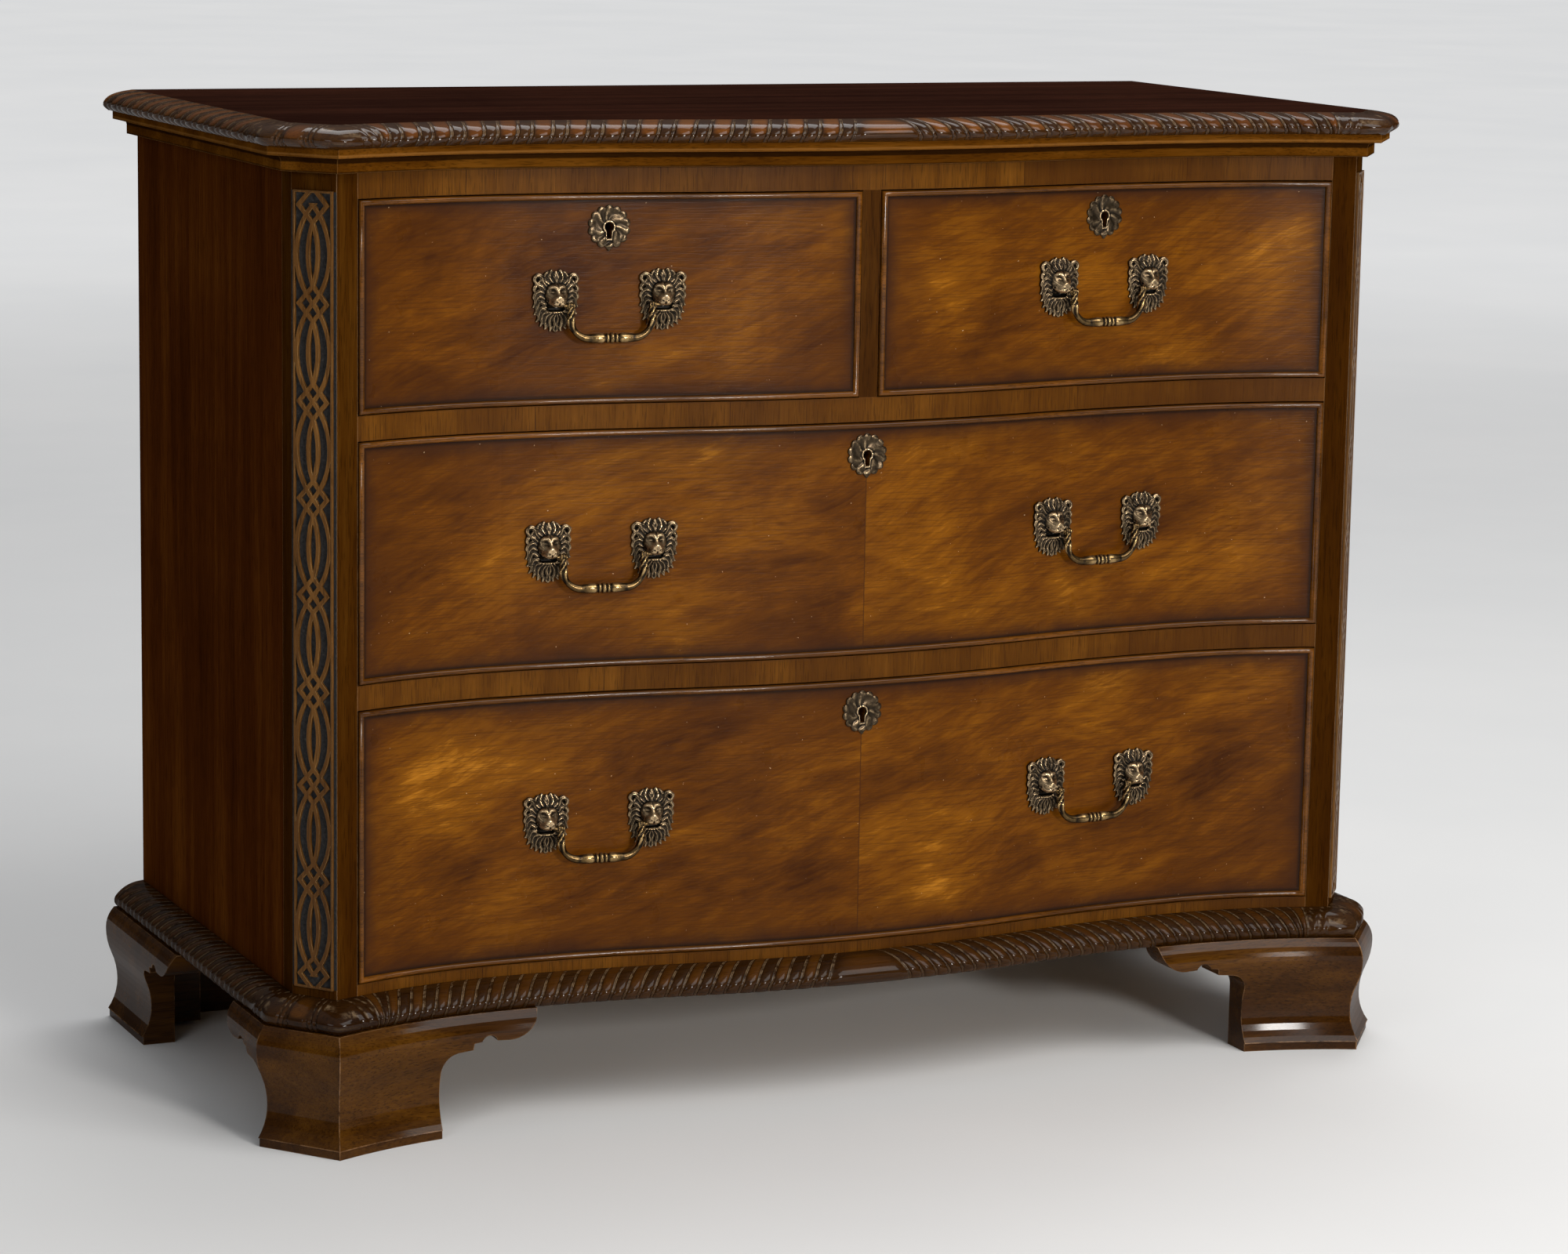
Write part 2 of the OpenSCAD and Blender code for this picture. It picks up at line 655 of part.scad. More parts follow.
// Points along an arc about c, from the angle a0 to a1
function arc(c, r, a0, a1, n = 9) =
    [for (i = [0 : n]) let (a = a0 + (a1 - a0) * i / n) c + r * [cos(a), sin(a)]];

// Ogee section of a foot: tangent arcs over a plain edge. x is the reach, y the height
bulge_z = foot_h - bulge_drop;
waist_z = foot_h * 0.34;
ogee_r = (pow(bulge_z - waist_z, 2) + pow(foot_bulge - foot_waist, 2))
    / (4 * (foot_bulge - foot_waist));
ogee_turn = asin((bulge_z - waist_z) / (2 * ogee_r));
foot_flare = foot_bulge - 1.5;
flare_r = (pow(waist_z - foot_edge_h, 2) + pow(foot_flare - foot_waist, 2))
    / (2 * (foot_flare - foot_waist));
module foot_section() polygon(concat(
    [[foot_in, foot_h]],
    arc([foot_bulge - cap_r, bulge_z], cap_r, asin((foot_h - bulge_z) / cap_r), 0, 5),
    arc([foot_bulge - ogee_r, bulge_z], ogee_r, -ogee_turn / 4, -ogee_turn, 3),
    arc([foot_waist + ogee_r, waist_z], ogee_r, 180 - ogee_turn * 0.75, 180, 3),
    arc([foot_waist + flare_r, waist_z], flare_r, 187, 180 + asin((waist_z - foot_edge_h) / flare_r), 4),
    [[foot_flare - 1.5, foot_edge_h], [foot_flare - 1.5, 0], [foot_in, 0]]
));

// Outline cut away beside a column: x runs from the column along the wing, y is the height
module wing_void() {
    nose_r = wing_l * 0.3;
    spring_z = foot_h - arch_drop - arch_r;
    step_x = wing_l * 0.33;
    step_z = foot_h - step_drop;
    cusp_x = wing_l * 0.49;
    polygon(concat(
        [[2 * wing_l, -1], [0, -1]],
        arc([arch_r, spring_z], arch_r, 180, 90),
        [[step_x - 1, step_z - 6], [step_x, step_z]],
        arc([cusp_x, step_z - 2], 8, 160, 20),
        arc([wing_l - nose_r, step_z + nose_r], nose_r, 270, 350),
        [[wing_l + 1, foot_h + 2], [2 * wing_l, foot_h + 2]]
    ));
}
module upright_cut(thick) rotate([90, 0, 0]) linear_extrude(thick, center = true) children();

module foot_block() slab(foot_in, foot_h) intersection() {
    plan(foot_in - joint_gap, cant_d + block_w);
    translate([half_w - block_w, -far]) square([block_w + foot_in - joint_gap, 2 * far]);
}
module front_foot() color(mahogany) placed() {
    difference() {
        end_run(hollow_x - foot_col_x + wing_l + 2) foot_section();
        translate([foot_col_x, 0, 0]) mirror([1, 0, 0]) upright_cut(6 * post_d) wing_void();
    }
    cant_run() foot_section();
    difference() {
        side_run(cant_d + wing_l + 6) foot_section();
        translate([half_w + foot_in, corner_a(foot_bulge).y, 0]) rotate([0, 0, 90])
            upright_cut(4 * post_d) wing_void();
    }
    foot_block();
}
module foot_front_left() mirror([1, 0, 0]) front_foot();
module foot_front_right() front_foot();

module rear_foot() color(mahogany) placed() {
    inner_face = half_w + foot_in - joint_gap;
    difference() {
        translate([half_w, case_d, 0]) rotate([90, 0, 0])
            linear_extrude(rear_col + wing_l + 2) foot_section();
        translate([half_w, case_d - rear_col, 0]) rotate([0, 0, -90])
            upright_cut(4 * post_d) wing_void();
    }
    difference() {
        translate([inner_face - rear_col - wing_l, case_d - rear_bracket_t, 0])
            cube([rear_col + wing_l, rear_bracket_t, foot_h]);
        translate([half_w + foot_in - rear_col, case_d, 0]) mirror([1, 0, 0])
            upright_cut(4 * post_d) wing_void();
    }
    translate([
        inner_face - block_w, case_d - rear_bracket_t - joint_gap - block_w, foot_in
    ]) cube([block_w, block_w, foot_h - foot_in]);
}
module foot_rear_left() mirror([1, 0, 0]) rear_foot();
module foot_rear_right() rear_foot();

// Keyhole outline, round above a slot
module keyhole(grow = 0) {
    circle(r = key_r + grow);
    translate([-key_slot / 2 - grow, -key_l - grow]) square([key_slot + 2 * grow, key_l + grow]);
}
// The key goes in straight from the front, also where the front is turned
module key_cut(d, grow, y0, y1) translate([lock_x(d), front_y(lock_x(d)) + y1, key_z(d)])
    rotate([90, 0, 0]) linear_extrude(y1 - y0) keyhole(grow);

// Drawers
function front_x0(d) = left_x(d) + front_gap;
function front_x1(d) = right_x(d) - front_gap;
function front_z0(d) = opening_z[d] + front_gap;
function front_z1(d) = opening_z[d] + opening_h[d] - front_gap;
function box_x0(d) = left_x(d) + side_gap;
function box_x1(d) = right_x(d) - side_gap;
module front_band(o0, o1, x0, x1) difference() {
    behind(o1, x0, x1, 3 * post_d);
    behind(o0, x0 - 1, x1 + 1, 3 * post_d + 1);
}
module mask_places(d) for (x = handles(d), s = [-1, 1])
    at_front(x + s * mask_pitch / 2, pivot_z(d)) children();
module inward() rotate([-90, 0, 0]) children();
module outward() rotate([90, 0, 0]) children();

// Sides end in laps in the back of the front, and the bottom slides in grooves from the rear
lap = front_t / 2;
module box_sides(d) for (x = [box_x0(d), box_x1(d) - box_t])
    slab(opening_z[d] + run_gap, opening_z[d] + opening_h[d] - box_top_gap)
        behind(lap - front_t, x, x + box_t, drawer_back);
module bottom_board(d, grow)
    slab(opening_z[d] + bottom_z - grow, opening_z[d] + bottom_z + bottom_t + grow)
        behind(bottom_in - front_t + grow, box_x0(d) + box_t - bottom_in - grow,
            box_x1(d) - box_t + bottom_in + grow, drawer_back + grow);

module drawer_front(d) color(flame) placed() difference() {
    slab(front_z0(d), front_z1(d)) front_band(-front_t, 0, front_x0(d), front_x1(d));
    difference() {
        slab(front_z0(d) - 1, front_z1(d) + 1)
            front_band(-bead_in - groove_gap, bead_out, front_x0(d) - 1, front_x1(d) + 1);
        translate([front_x0(d) + bead_w, -far, front_z0(d) + bead_w]) cube([
            front_x1(d) - front_x0(d) - 2 * bead_w, 2 * far,
            front_z1(d) - front_z0(d) - 2 * bead_w
        ]);
    }
    box_sides(d);
    bottom_board(d, groove_gap);
    mask_places(d) inward() translate([0, 0, -1])
        cylinder(r = stud_r + stud_gap, h = front_t + 3);
    key_cut(d, 0, -2, front_t + 2);
    at_front(lock_x(d), front_z1(d)) translate([-lock_w / 2, front_t - lock_in, -lock_h])
        cube([lock_w, lock_in + 3, lock_h + 1]);
}
module drawer_box(d) color(oak) placed() {
    difference() {
        box_sides(d);
        bottom_board(d, groove_gap);
    }
    rise = bottom_z + bottom_t + groove_gap;
    translate([box_x0(d) + box_t, drawer_back - box_back_t, opening_z[d] + rise])
        cube([box_x1(d) - box_x0(d) - 2 * box_t, box_back_t, opening_h[d] - box_top_gap - rise]);
}
module drawer_bottom(d) color(oak) placed() bottom_board(d, 0);

// Cockbead: one mitred frame with a rounded nose, let into the edges of the front. It is drawn in
// steps no longer than bead_step
bead_step = 24;
module drawer_cockbead(d) color(mahogany) placed() {
    x0 = front_x0(d);
    x1 = front_x1(d);
    // Each corner of the section is [reach from the front, distance in from the outer edge]
    section = [[-bead_in, 0], [-bead_in, bead_w], [bead_out - 1.2, bead_w], [bead_out, bead_w / 2],
        [bead_out - 1.2, 0]];
    m = len(section);
    n = ceil((x1 - x0) / bead_step);
    points = [
        for (top = [0, 1], i = [0 : n], p = section) let (
            u = top == 1 ? 1 - i / n : i / n,
            x = x0 + p.y + (x1 - x0 - 2 * p.y) * u
        ) [x, front_y(x, p.x), top == 1 ? front_z1(d) - p.y : front_z0(d) + p.y]
    ];
    count = 2 * (n + 1);
    faces = [
        for (i = [0 : count - 1], j = [0 : m - 1]) let (k = (j + 1) % m, next = (i + 1) % count)
            each [[i * m + j, next * m + j, i * m + k], [i * m + k, next * m + j, next * m + k]]
    ];
    polyhedron(points = points, faces = faces);
}

// Locks and escutcheons
module drawer_lock(d) color(steel) placed() difference() {
    at_front(lock_x(d), front_z1(d)) translate([-lock_w / 2, front_t - lock_in, -lock_h])
        cube([lock_w, lock_d, lock_h]);
    key_cut(d, key_gap, front_t - lock_in - 1, front_t + lock_d / 2);
}
module plate_plan() difference() {
    petal_n = 14;
    petal_r = plate_r * 0.19;
    union() {
        circle(r = plate_r);
        for (i = [0 : petal_n - 1]) rotate(90 + i * 360 / petal_n)
            translate([plate_r - 0.3, 0]) circle(r = petal_r);
        polygon([[-plate_r * 0.3, -plate_r], [0, -plate_r * 1.24], [plate_r * 0.3, -plate_r]]);
    }
    keyhole();
}
module drawer_escutcheon(d) color(brass) placed() at_front(lock_x(d), key_z(d))
    translate([0, -mount_gap, 0]) outward() {
        linear_extrude(plate_t) plate_plan();
        linear_extrude(plate_t + key_rim_h) difference() {
            keyhole(key_rim);
            keyhole();
        }
    }

// Masks: a head in low relief with a round muzzle, drawn with x across, y up and z outwards
mask_rays = 24;
mask_rings = [1, 0.86, 0.66, 0.42];
function mask_edge(a) = (1 - 0.04 * (1 + cos(12 * a))) *
    [mask_w / 2 * cos(a), mask_h / 2 * sin(a) * (1 - 0.07 * pow(cos(a), 2))];
function mask_relief(k, a) = mask_edge_t + (k == 0 ? 0 : 1.5 + 2.2 * sqrt(1 - pow(mask_rings[k], 2))
    + 0.5 * cos(12 * a + 45 * k));
module mask_face() {
    n = mask_rays;
    rings = len(mask_rings);
    points = concat(
        [for (i = [0 : n - 1]) let (e = mask_edge(i * 360 / n)) [e.x, e.y, 0]],
        [for (k = [0 : rings - 1], i = [0 : n - 1]) let (a = i * 360 / n, e = mask_edge(a) * mask_rings[k])
            [e.x, e.y, mask_relief(k, a)]],
        [[0, 0, 0], [0, 0, 5.6]]
    );
    low = (rings + 1) * n;
    faces = concat(
        [for (i = [0 : n - 1]) [low, i, (i + 1) % n]],
        [for (k = [0 : rings - 1], i = [0 : n - 1]) let (a = k * n + i, b = k * n + (i + 1) % n)
            each [[a, a + n, b], [b, a + n, b + n]]],
        [for (i = [0 : n - 1]) let (a = rings * n + i, b = rings * n + (i + 1) % n) [a, low + 1, b]]
    );
    polyhedron(points = points, faces = faces);
}
module mask() {
    difference() {
        union() {
            mask_face();
            intersection() {
                translate([0, 0, 0.5]) cylinder(r = muzzle_r, h = muzzle_h);
                translate([0, 0, muzzle_h - muzzle_r * 1.3]) sphere(r = muzzle_r * 1.3);
            }
        }
        translate([0, 0, -1]) cylinder(r = stud_r + groove_gap, h = 1 + stud_in);
    }
}

// A bail turns on the line between the pivots of its two masks
function pivot(x) = [x + pivot_out * sin(front_turn(x)), front_y(x) - pivot_out * cos(front_turn(x))];
function pivot_l(x) = pivot(x - mask_pitch / 2);
function pivot_r(x) = pivot(x + mask_pitch / 2);
function half_chord(x) = norm(pivot_r(x) - pivot_l(x)) / 2;
module bail_at(x, z) {
    mid = (pivot_l(x) + pivot_r(x)) / 2;
    way = pivot_r(x) - pivot_l(x);
    translate([mid.x, mid.y, z]) rotate([0, 0, atan2(way.y, way.x)]) children();
}
module pin_at(x, from, to, r) both_sides() translate([half_chord(x) - muzzle_r + from, 0, 0])
    rotate([0, 90, 0]) cylinder(r = r, h = to - from);
module drawer_masks(d) color(brass) placed() difference() {
    mask_places(d) translate([0, -mount_gap, 0]) outward() mask();
    for (x = handles(d)) bail_at(x, pivot_z(d)) pin_at(x, -2, pin_l + 0.5, pin_r + pin_gap);
}
module drawer_studs(d) color(steel) placed() mask_places(d) inward() {
    translate([0, 0, groove_gap - stud_in]) cylinder(r = stud_r, h = stud_in + front_t + 2 * nut_t);
    translate([-nut_w / 2, -nut_w / 2, front_t + mount_gap]) cube([nut_w, nut_w, nut_t]);
}
module bail(d, x) color(brass) placed() bail_at(x, pivot_z(d)) {
    arm_x = half_chord(x) - muzzle_r - knuckle_gap - knuckle_w / 2;
    both_sides() {
        translate([arm_x - knuckle_w / 2, 0, 0]) rotate([0, 90, 0]) cylinder(r = knuckle_r, h = knuckle_w);
        translate([arm_x, 0, bend_r - bail_drop]) cylinder(r = bend_bar_r, h = bail_drop - bend_r);
        translate([arm_x - bend_r, 0, bend_r - bail_drop]) outward()
            rotate_extrude(angle = 90, start = 270) translate([bend_r, 0]) circle(r = bend_bar_r);
        translate([0, 0, -bail_drop]) rotate([0, 90, 0])
            cylinder(r1 = bail_r, r2 = bend_bar_r, h = arm_x - bend_r);
        translate([1.15 * ring_w, 0, -bail_drop]) rotate([0, 90, 0])
            cylinder(r = bail_r + 0.6 * ring_out, h = 0.8 * ring_w);
    }
    translate([-ring_w / 2, 0, -bail_drop]) rotate([0, 90, 0])
        cylinder(r = bail_r + ring_out, h = ring_w);
    pin_at(x, -knuckle_gap - 0.5, pin_l, pin_r);
}

module top_left_front() drawer_front(TL);
module top_left_cockbead() drawer_cockbead(TL);
module top_left_box() drawer_box(TL);
module top_left_bottom() drawer_bottom(TL);
module top_left_lock() drawer_lock(TL);
module top_left_escutcheon() drawer_escutcheon(TL);
module top_left_masks() drawer_masks(TL);
module top_left_studs() drawer_studs(TL);
module top_left_bail() bail(TL, handles(TL)[0]);
module top_right_front() drawer_front(TR);
module top_right_cockbead() drawer_cockbead(TR);
module top_right_box() drawer_box(TR);
module top_right_bottom() drawer_bottom(TR);
module top_right_lock() drawer_lock(TR);
module top_right_escutcheon() drawer_escutcheon(TR);
module top_right_masks() drawer_masks(TR);
module top_right_studs() drawer_studs(TR);
module top_right_bail() bail(TR, handles(TR)[0]);
module middle_front() drawer_front(MID);
module middle_cockbead() drawer_cockbead(MID);
module middle_box() drawer_box(MID);
module middle_bottom() drawer_bottom(MID);
module middle_lock() drawer_lock(MID);
module middle_escutcheon() drawer_escutcheon(MID);
module middle_masks() drawer_masks(MID);
module middle_studs() drawer_studs(MID);
module middle_left_bail() bail(MID, handles(MID)[0]);
module middle_right_bail() bail(MID, handles(MID)[1]);
module bottom_front() drawer_front(LOW);
module bottom_cockbead() drawer_cockbead(LOW);
module bottom_box() drawer_box(LOW);
module bottom_bottom() drawer_bottom(LOW);
module bottom_lock() drawer_lock(LOW);
module bottom_escutcheon() drawer_escutcheon(LOW);
module bottom_masks() drawer_masks(LOW);
module bottom_studs() drawer_studs(LOW);
module bottom_left_bail() bail(LOW, handles(LOW)[0]);
module bottom_right_bail() bail(LOW, handles(LOW)[1]);

left_side();
right_side();
back_boards();
case_bottom();
corner_post_left();
corner_post_right();
corner_frets();
top_rail();
top_divider();
upper_blade();
lower_blade();
bottom_rail();
drawer_runners();
dust_boards();
top_board();
top_gadroon();
top_moulding();
base_gadroon();
foot_front_left();
foot_front_right();
foot_rear_left();
foot_rear_right();
top_left_front();
top_left_cockbead();
top_left_box();
top_left_bottom();
top_left_lock();
top_left_escutcheon();
top_left_masks();
top_left_studs();
top_left_bail();
top_right_front();
top_right_cockbead();
top_right_box();
top_right_bottom();
top_right_lock();
top_right_escutcheon();
top_right_masks();
top_right_studs();
top_right_bail();
middle_front();
middle_cockbead();
middle_box();
middle_bottom();
middle_lock();
middle_escutcheon();
middle_masks();
middle_studs();
middle_left_bail();
middle_right_bail();
bottom_front();
bottom_cockbead();
bottom_box();
bottom_bottom();
bottom_lock();
bottom_escutcheon();
bottom_masks();
bottom_studs();
bottom_left_bail();
bottom_right_bail();
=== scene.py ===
# Dresses the chest of drawers: carved edges, handles, key plates, beads, polished wood, old brass.
import math

import bpy
import numpy as np
from mathutils import Matrix, Vector


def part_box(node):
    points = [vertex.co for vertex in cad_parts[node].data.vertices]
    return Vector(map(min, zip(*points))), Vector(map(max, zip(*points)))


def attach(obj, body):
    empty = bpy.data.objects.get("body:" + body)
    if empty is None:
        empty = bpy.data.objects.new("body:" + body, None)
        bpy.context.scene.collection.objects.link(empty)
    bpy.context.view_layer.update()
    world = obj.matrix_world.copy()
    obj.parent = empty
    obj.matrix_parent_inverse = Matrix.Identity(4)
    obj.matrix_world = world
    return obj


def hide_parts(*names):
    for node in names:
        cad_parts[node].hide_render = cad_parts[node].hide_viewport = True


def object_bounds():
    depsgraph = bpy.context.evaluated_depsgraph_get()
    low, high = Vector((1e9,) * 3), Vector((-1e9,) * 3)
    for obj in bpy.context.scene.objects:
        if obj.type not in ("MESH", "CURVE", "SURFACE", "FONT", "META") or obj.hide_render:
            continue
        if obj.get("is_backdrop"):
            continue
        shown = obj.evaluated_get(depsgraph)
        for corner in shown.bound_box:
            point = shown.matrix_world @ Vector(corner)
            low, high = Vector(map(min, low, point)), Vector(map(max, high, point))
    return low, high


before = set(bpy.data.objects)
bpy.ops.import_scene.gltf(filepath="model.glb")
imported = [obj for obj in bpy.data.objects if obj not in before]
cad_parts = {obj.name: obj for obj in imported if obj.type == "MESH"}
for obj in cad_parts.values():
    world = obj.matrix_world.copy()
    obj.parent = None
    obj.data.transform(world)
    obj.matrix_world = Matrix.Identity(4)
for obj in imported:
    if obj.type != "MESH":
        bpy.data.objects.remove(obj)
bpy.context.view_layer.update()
scene = bpy.context.scene

# Sizes of the chest in millimetres, as in the part's source
MM_PER_M = 1000
HALF_W, CASE_D = 532.0, 500.0
CANT = np.array([28.5, 36.5])
HOLLOW_X, HOLLOW_DIP, SWELL_R = 343.0, 29.0, 1040.0
FOOT_H, TOTAL_H = 109.0, 898.0
# Height of each opening's floor, and how high the opening is
OPENINGS = {
    "bottom": (143.0, 245.5), "middle": (410.5, 214.5),
    "top_left": (647.0, 187.0), "top_right": (647.0, 187.0),
}
SIDES = {
    "bottom": (-482.0, 482.0), "middle": (-482.0, 482.0),
    "top_left": (-482.0, -9.0), "top_right": (9.0, 482.0),
}
HANDLES = {
    "bottom": [("left", -249.0), ("right", 249.0)],
    "middle": [("left", -249.0), ("right", 249.0)],
    "top_left": [("", -244.0)], "top_right": [("", 249.0)],
}
HANDLE_Z = {"bottom": 267.0, "middle": 513.0, "top_left": 736.0, "top_right": 736.0}
LOCK_X = {"bottom": 0.0, "middle": 0.0, "top_left": -244.0, "top_right": 249.0}
KEY_DROP, FRONT_GAP, BEAD_W, BEAD_OUT, BEAD_IN = 30.0, 1.1, 5.0, 3.5, 10.0
MASK_PITCH, PIVOT_OUT, MOUNT_GAP, MUZZLE_R = 98.0, 10.5, 0.25, 8.0
Y_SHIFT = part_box("right_side")[1].y * MM_PER_M - CASE_D

# The curved front: a swell between two hollows
CORNER_X = HALF_W - CANT[0]
ARC_SUM = (HOLLOW_X ** 2 / HOLLOW_DIP + HOLLOW_DIP) / 2
HOLLOW_R = ARC_SUM - SWELL_R
TURN = math.asin(HOLLOW_X / ARC_SUM)
END_X = CORNER_X - HOLLOW_X
END_R = (END_X ** 2 + HOLLOW_DIP ** 2) / (2 * HOLLOW_DIP)
END_TURN = math.asin(END_X / END_R)


def front_y(x, out=0.0):
    """Depth of the front at x, moved out of the surface by out."""
    a = np.abs(x)
    swell = SWELL_R - np.sqrt((SWELL_R + out) ** 2 - np.minimum(a, SWELL_R / 2) ** 2)
    hollow = HOLLOW_DIP - HOLLOW_R + np.sqrt((HOLLOW_R - out) ** 2 - (HOLLOW_X - a) ** 2)
    past = np.minimum(a - HOLLOW_X, END_R / 2)
    end = HOLLOW_DIP - END_R + np.sqrt((END_R - out) ** 2 - past ** 2)
    swell_x = (SWELL_R + out) * math.sin(TURN)
    return np.where(a < swell_x, swell, np.where(a < HOLLOW_X, hollow, end))


def front_turn(x):
    """How far the front is turned at x, in radians."""
    a = abs(x)
    if a < SWELL_R * math.sin(TURN):
        turn = math.asin(a / SWELL_R)
    elif a < HOLLOW_X:
        turn = math.asin((HOLLOW_X - a) / HOLLOW_R)
    else:
        turn = -math.asin((a - HOLLOW_X) / END_R)
    return math.copysign(turn, x)


def on_front(x, z, points):
    """Points drawn as (across, up, outwards) on the front at x and z, off it by the mount's gap."""
    turn = front_turn(x)
    across = np.array([math.cos(turn), math.sin(turn), 0])
    outwards = np.array([math.sin(turn), -math.cos(turn), 0])
    start = np.array([x, float(front_y(x)), z])
    up = points[:, 1:2] * [0, 0, 1]
    return start + points[:, :1] * across + up + (points[:, 2:] + MOUNT_GAP) * outwards


def linked(name, data):
    """A new object of the scene."""
    made = bpy.data.objects.new(name, data)
    scene.collection.objects.link(made)
    return made


def make_piece(name, points, faces, material, body, stands_for, values=None):
    """A mesh from points in the source's millimetres, riding a body, in place of a CAD node."""
    place = (np.asarray(points, float) + [0, Y_SHIFT, 0]) / MM_PER_M
    mesh = bpy.data.meshes.new(name)
    mesh.from_pydata(place.tolist(), [], faces)
    mesh.polygons.foreach_set("use_smooth", [True] * len(mesh.polygons))
    for key, data in (values or {}).items():
        layer = mesh.attributes.new(key, "FLOAT", "POINT")
        layer.data.foreach_set("value", np.asarray(data, np.float32))
    mesh.materials.append(material)
    mesh.update()
    piece = linked(name, mesh)
    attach(piece, body)
    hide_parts(stands_for)


def grid_faces(rows, columns, closed_rows=False):
    """Quads between rows of points; each row is a closed ring of that many columns."""
    faces = []
    for i in range(rows if closed_rows else rows - 1):
        for j in range(columns):
            a, b = i * columns, (i + 1) % rows * columns
            k = (j + 1) % columns
            faces.append([a + j, b + j, b + k, a + k])
    return faces


class Paint:
    """A material or world whose nodes are added one by one; a step gives its output socket."""

    def __init__(self, name, world=False):
        self.owner = (bpy.data.worlds if world else bpy.data.materials).new(name)
        self.owner.use_nodes = True
        self.tree = self.owner.node_tree
        self.surface = self.tree.nodes["Background" if world else "Principled BSDF"]

    def put(self, socket, value):
        if isinstance(value, bpy.types.NodeSocket):
            self.tree.links.new(value, socket)
        elif value is not None:
            socket.default_value = value

    def fill(self, node, values):
        for key, value in values.items():
            self.put(node.inputs[key], value)

    def node(self, kind, *values, out=0, **settings):
        made = self.tree.nodes.new("ShaderNode" + kind)
        for key, value in settings.items():
            setattr(made, key, value)
        for socket, value in zip(made.inputs, values):
            self.put(socket, value)
        return made.outputs[out]

    def math(self, kind, a, b=0.0):
        return self.node("Math", a, b, operation=kind)

    def total(self, first, *more):
        for value in more:
            first = self.math("ADD", first, value)
        return first

    def times(self, a, b):
        return self.math("MULTIPLY", a, b)

    def minus(self, a, b):
        return self.math("SUBTRACT", a, b)

    def object_place(self):
        return self.node("TexCoord", out=3)

    def mapped(self, point, scale, move=(0, 0, 0)):
        return self.node("Mapping", point, move, None, scale)

    def object_point(self, scale=(1, 1, 1), move=(0, 0, 0)):
        return self.mapped(self.object_place(), scale, move)

    def apart(self, vector):
        """The three coordinates of a vector."""
        return tuple(self.node("SeparateXYZ", vector).node.outputs)

    def noise(self, point, scale, detail, rough, twist=0.0):
        made = self.tree.nodes.new("ShaderNodeTexNoise")
        self.fill(made, {"Vector": point, "Scale": scale, "Detail": detail, "Roughness": rough,
                         "Distortion": twist})
        return made.outputs[0]

    def spots(self, scale, detail, rough):
        """Noise that is alike in all directions."""
        return self.noise(self.object_point(), scale, detail, rough)

    def wobble(self, value, noise, amount):
        """A value moved up and down by a noise around its middle."""
        return self.math("ADD", value, self.times(self.minus(noise, 0.5), amount))

    def rising(self, value, low, high):
        """0 below low, 1 above high and smooth between them."""
        return self.node("MapRange", value, low, high, interpolation_type="SMOOTHSTEP")

    def falling(self, value, low, high):
        return self.minus(1.0, self.rising(value, low, high))

    def within(self, value, low, high):
        above = self.math("GREATER_THAN", value, low)
        return self.times(above, self.math("LESS_THAN", value, high))

    def mix(self, share, *tones):
        tones = [t if isinstance(t, bpy.types.NodeSocket) else (*t, 1) for t in tones]
        return self.node("Mix", share, *[None] * 5, *tones, out=2, data_type="RGBA")

    def layered(self, colour, *layers):
        """A colour under thin layers: where each lies, how strong it is and its tone."""
        for share, amount, tone in layers:
            colour = self.mix(self.times(share, amount), colour, tone)
        return colour

    def pored(self, colour, pores, amount, tone):
        """A colour brought towards a tone where the pores are low."""
        return self.mix(self.minus(amount, self.times(pores, amount)), colour, tone)

    def ramp(self, value, *stops):
        made = self.tree.nodes.new("ShaderNodeValToRGB")
        self.put(made.inputs[0], value)
        bar = made.color_ramp.elements
        while len(bar) < len(stops):
            bar.new(1)
        for stop, (place, colour) in zip(bar, stops):
            stop.position = place
            stop.color = (*colour, 1)
        return made.outputs[0]

    def named(self, key):
        """A value that make_piece stored with the mesh's points."""
        return self.node("Attribute", out=2, attribute_name=key)

    def edges(self, radius):
        """1 on worn outer edges, and the softened normal there."""
        soft = self.node("Bevel", radius, samples=4)
        normal = self.node("NewGeometry", out=1)
        same = self.node("VectorMath", soft, normal, operation="DOT_PRODUCT", out=1)
        return self.minus(1.0, same), soft

    def gloss(self, rough, spread, scale=25):
        """A roughness that differs by up to spread from place to place."""
        return self.math("ADD", rough, self.times(self.spots(scale, 4, 0.6), spread))

    def finish(self, colour, rough, bump, bump_size, strength, normal=None, coat=0.0,
               coat_rough=0.1, metal=0.0, level=0.5):
        made = self.tree.nodes.new("ShaderNodeBump")
        self.fill(made, {"Strength": strength, "Distance": bump_size, "Height": bump,
                         "Normal": normal})
        self.fill(self.surface, {
            "Base Color": colour, "Roughness": rough, "Metallic": metal, "Coat Weight": coat,
            "Coat Roughness": coat_rough, "Specular IOR Level": level, "Normal": made.outputs[0]})
        return self.owner


GRAIN = {"x": (0.05, 1, 1), "y": (1, 0.05, 1), "z": (1, 1, 0.05)}


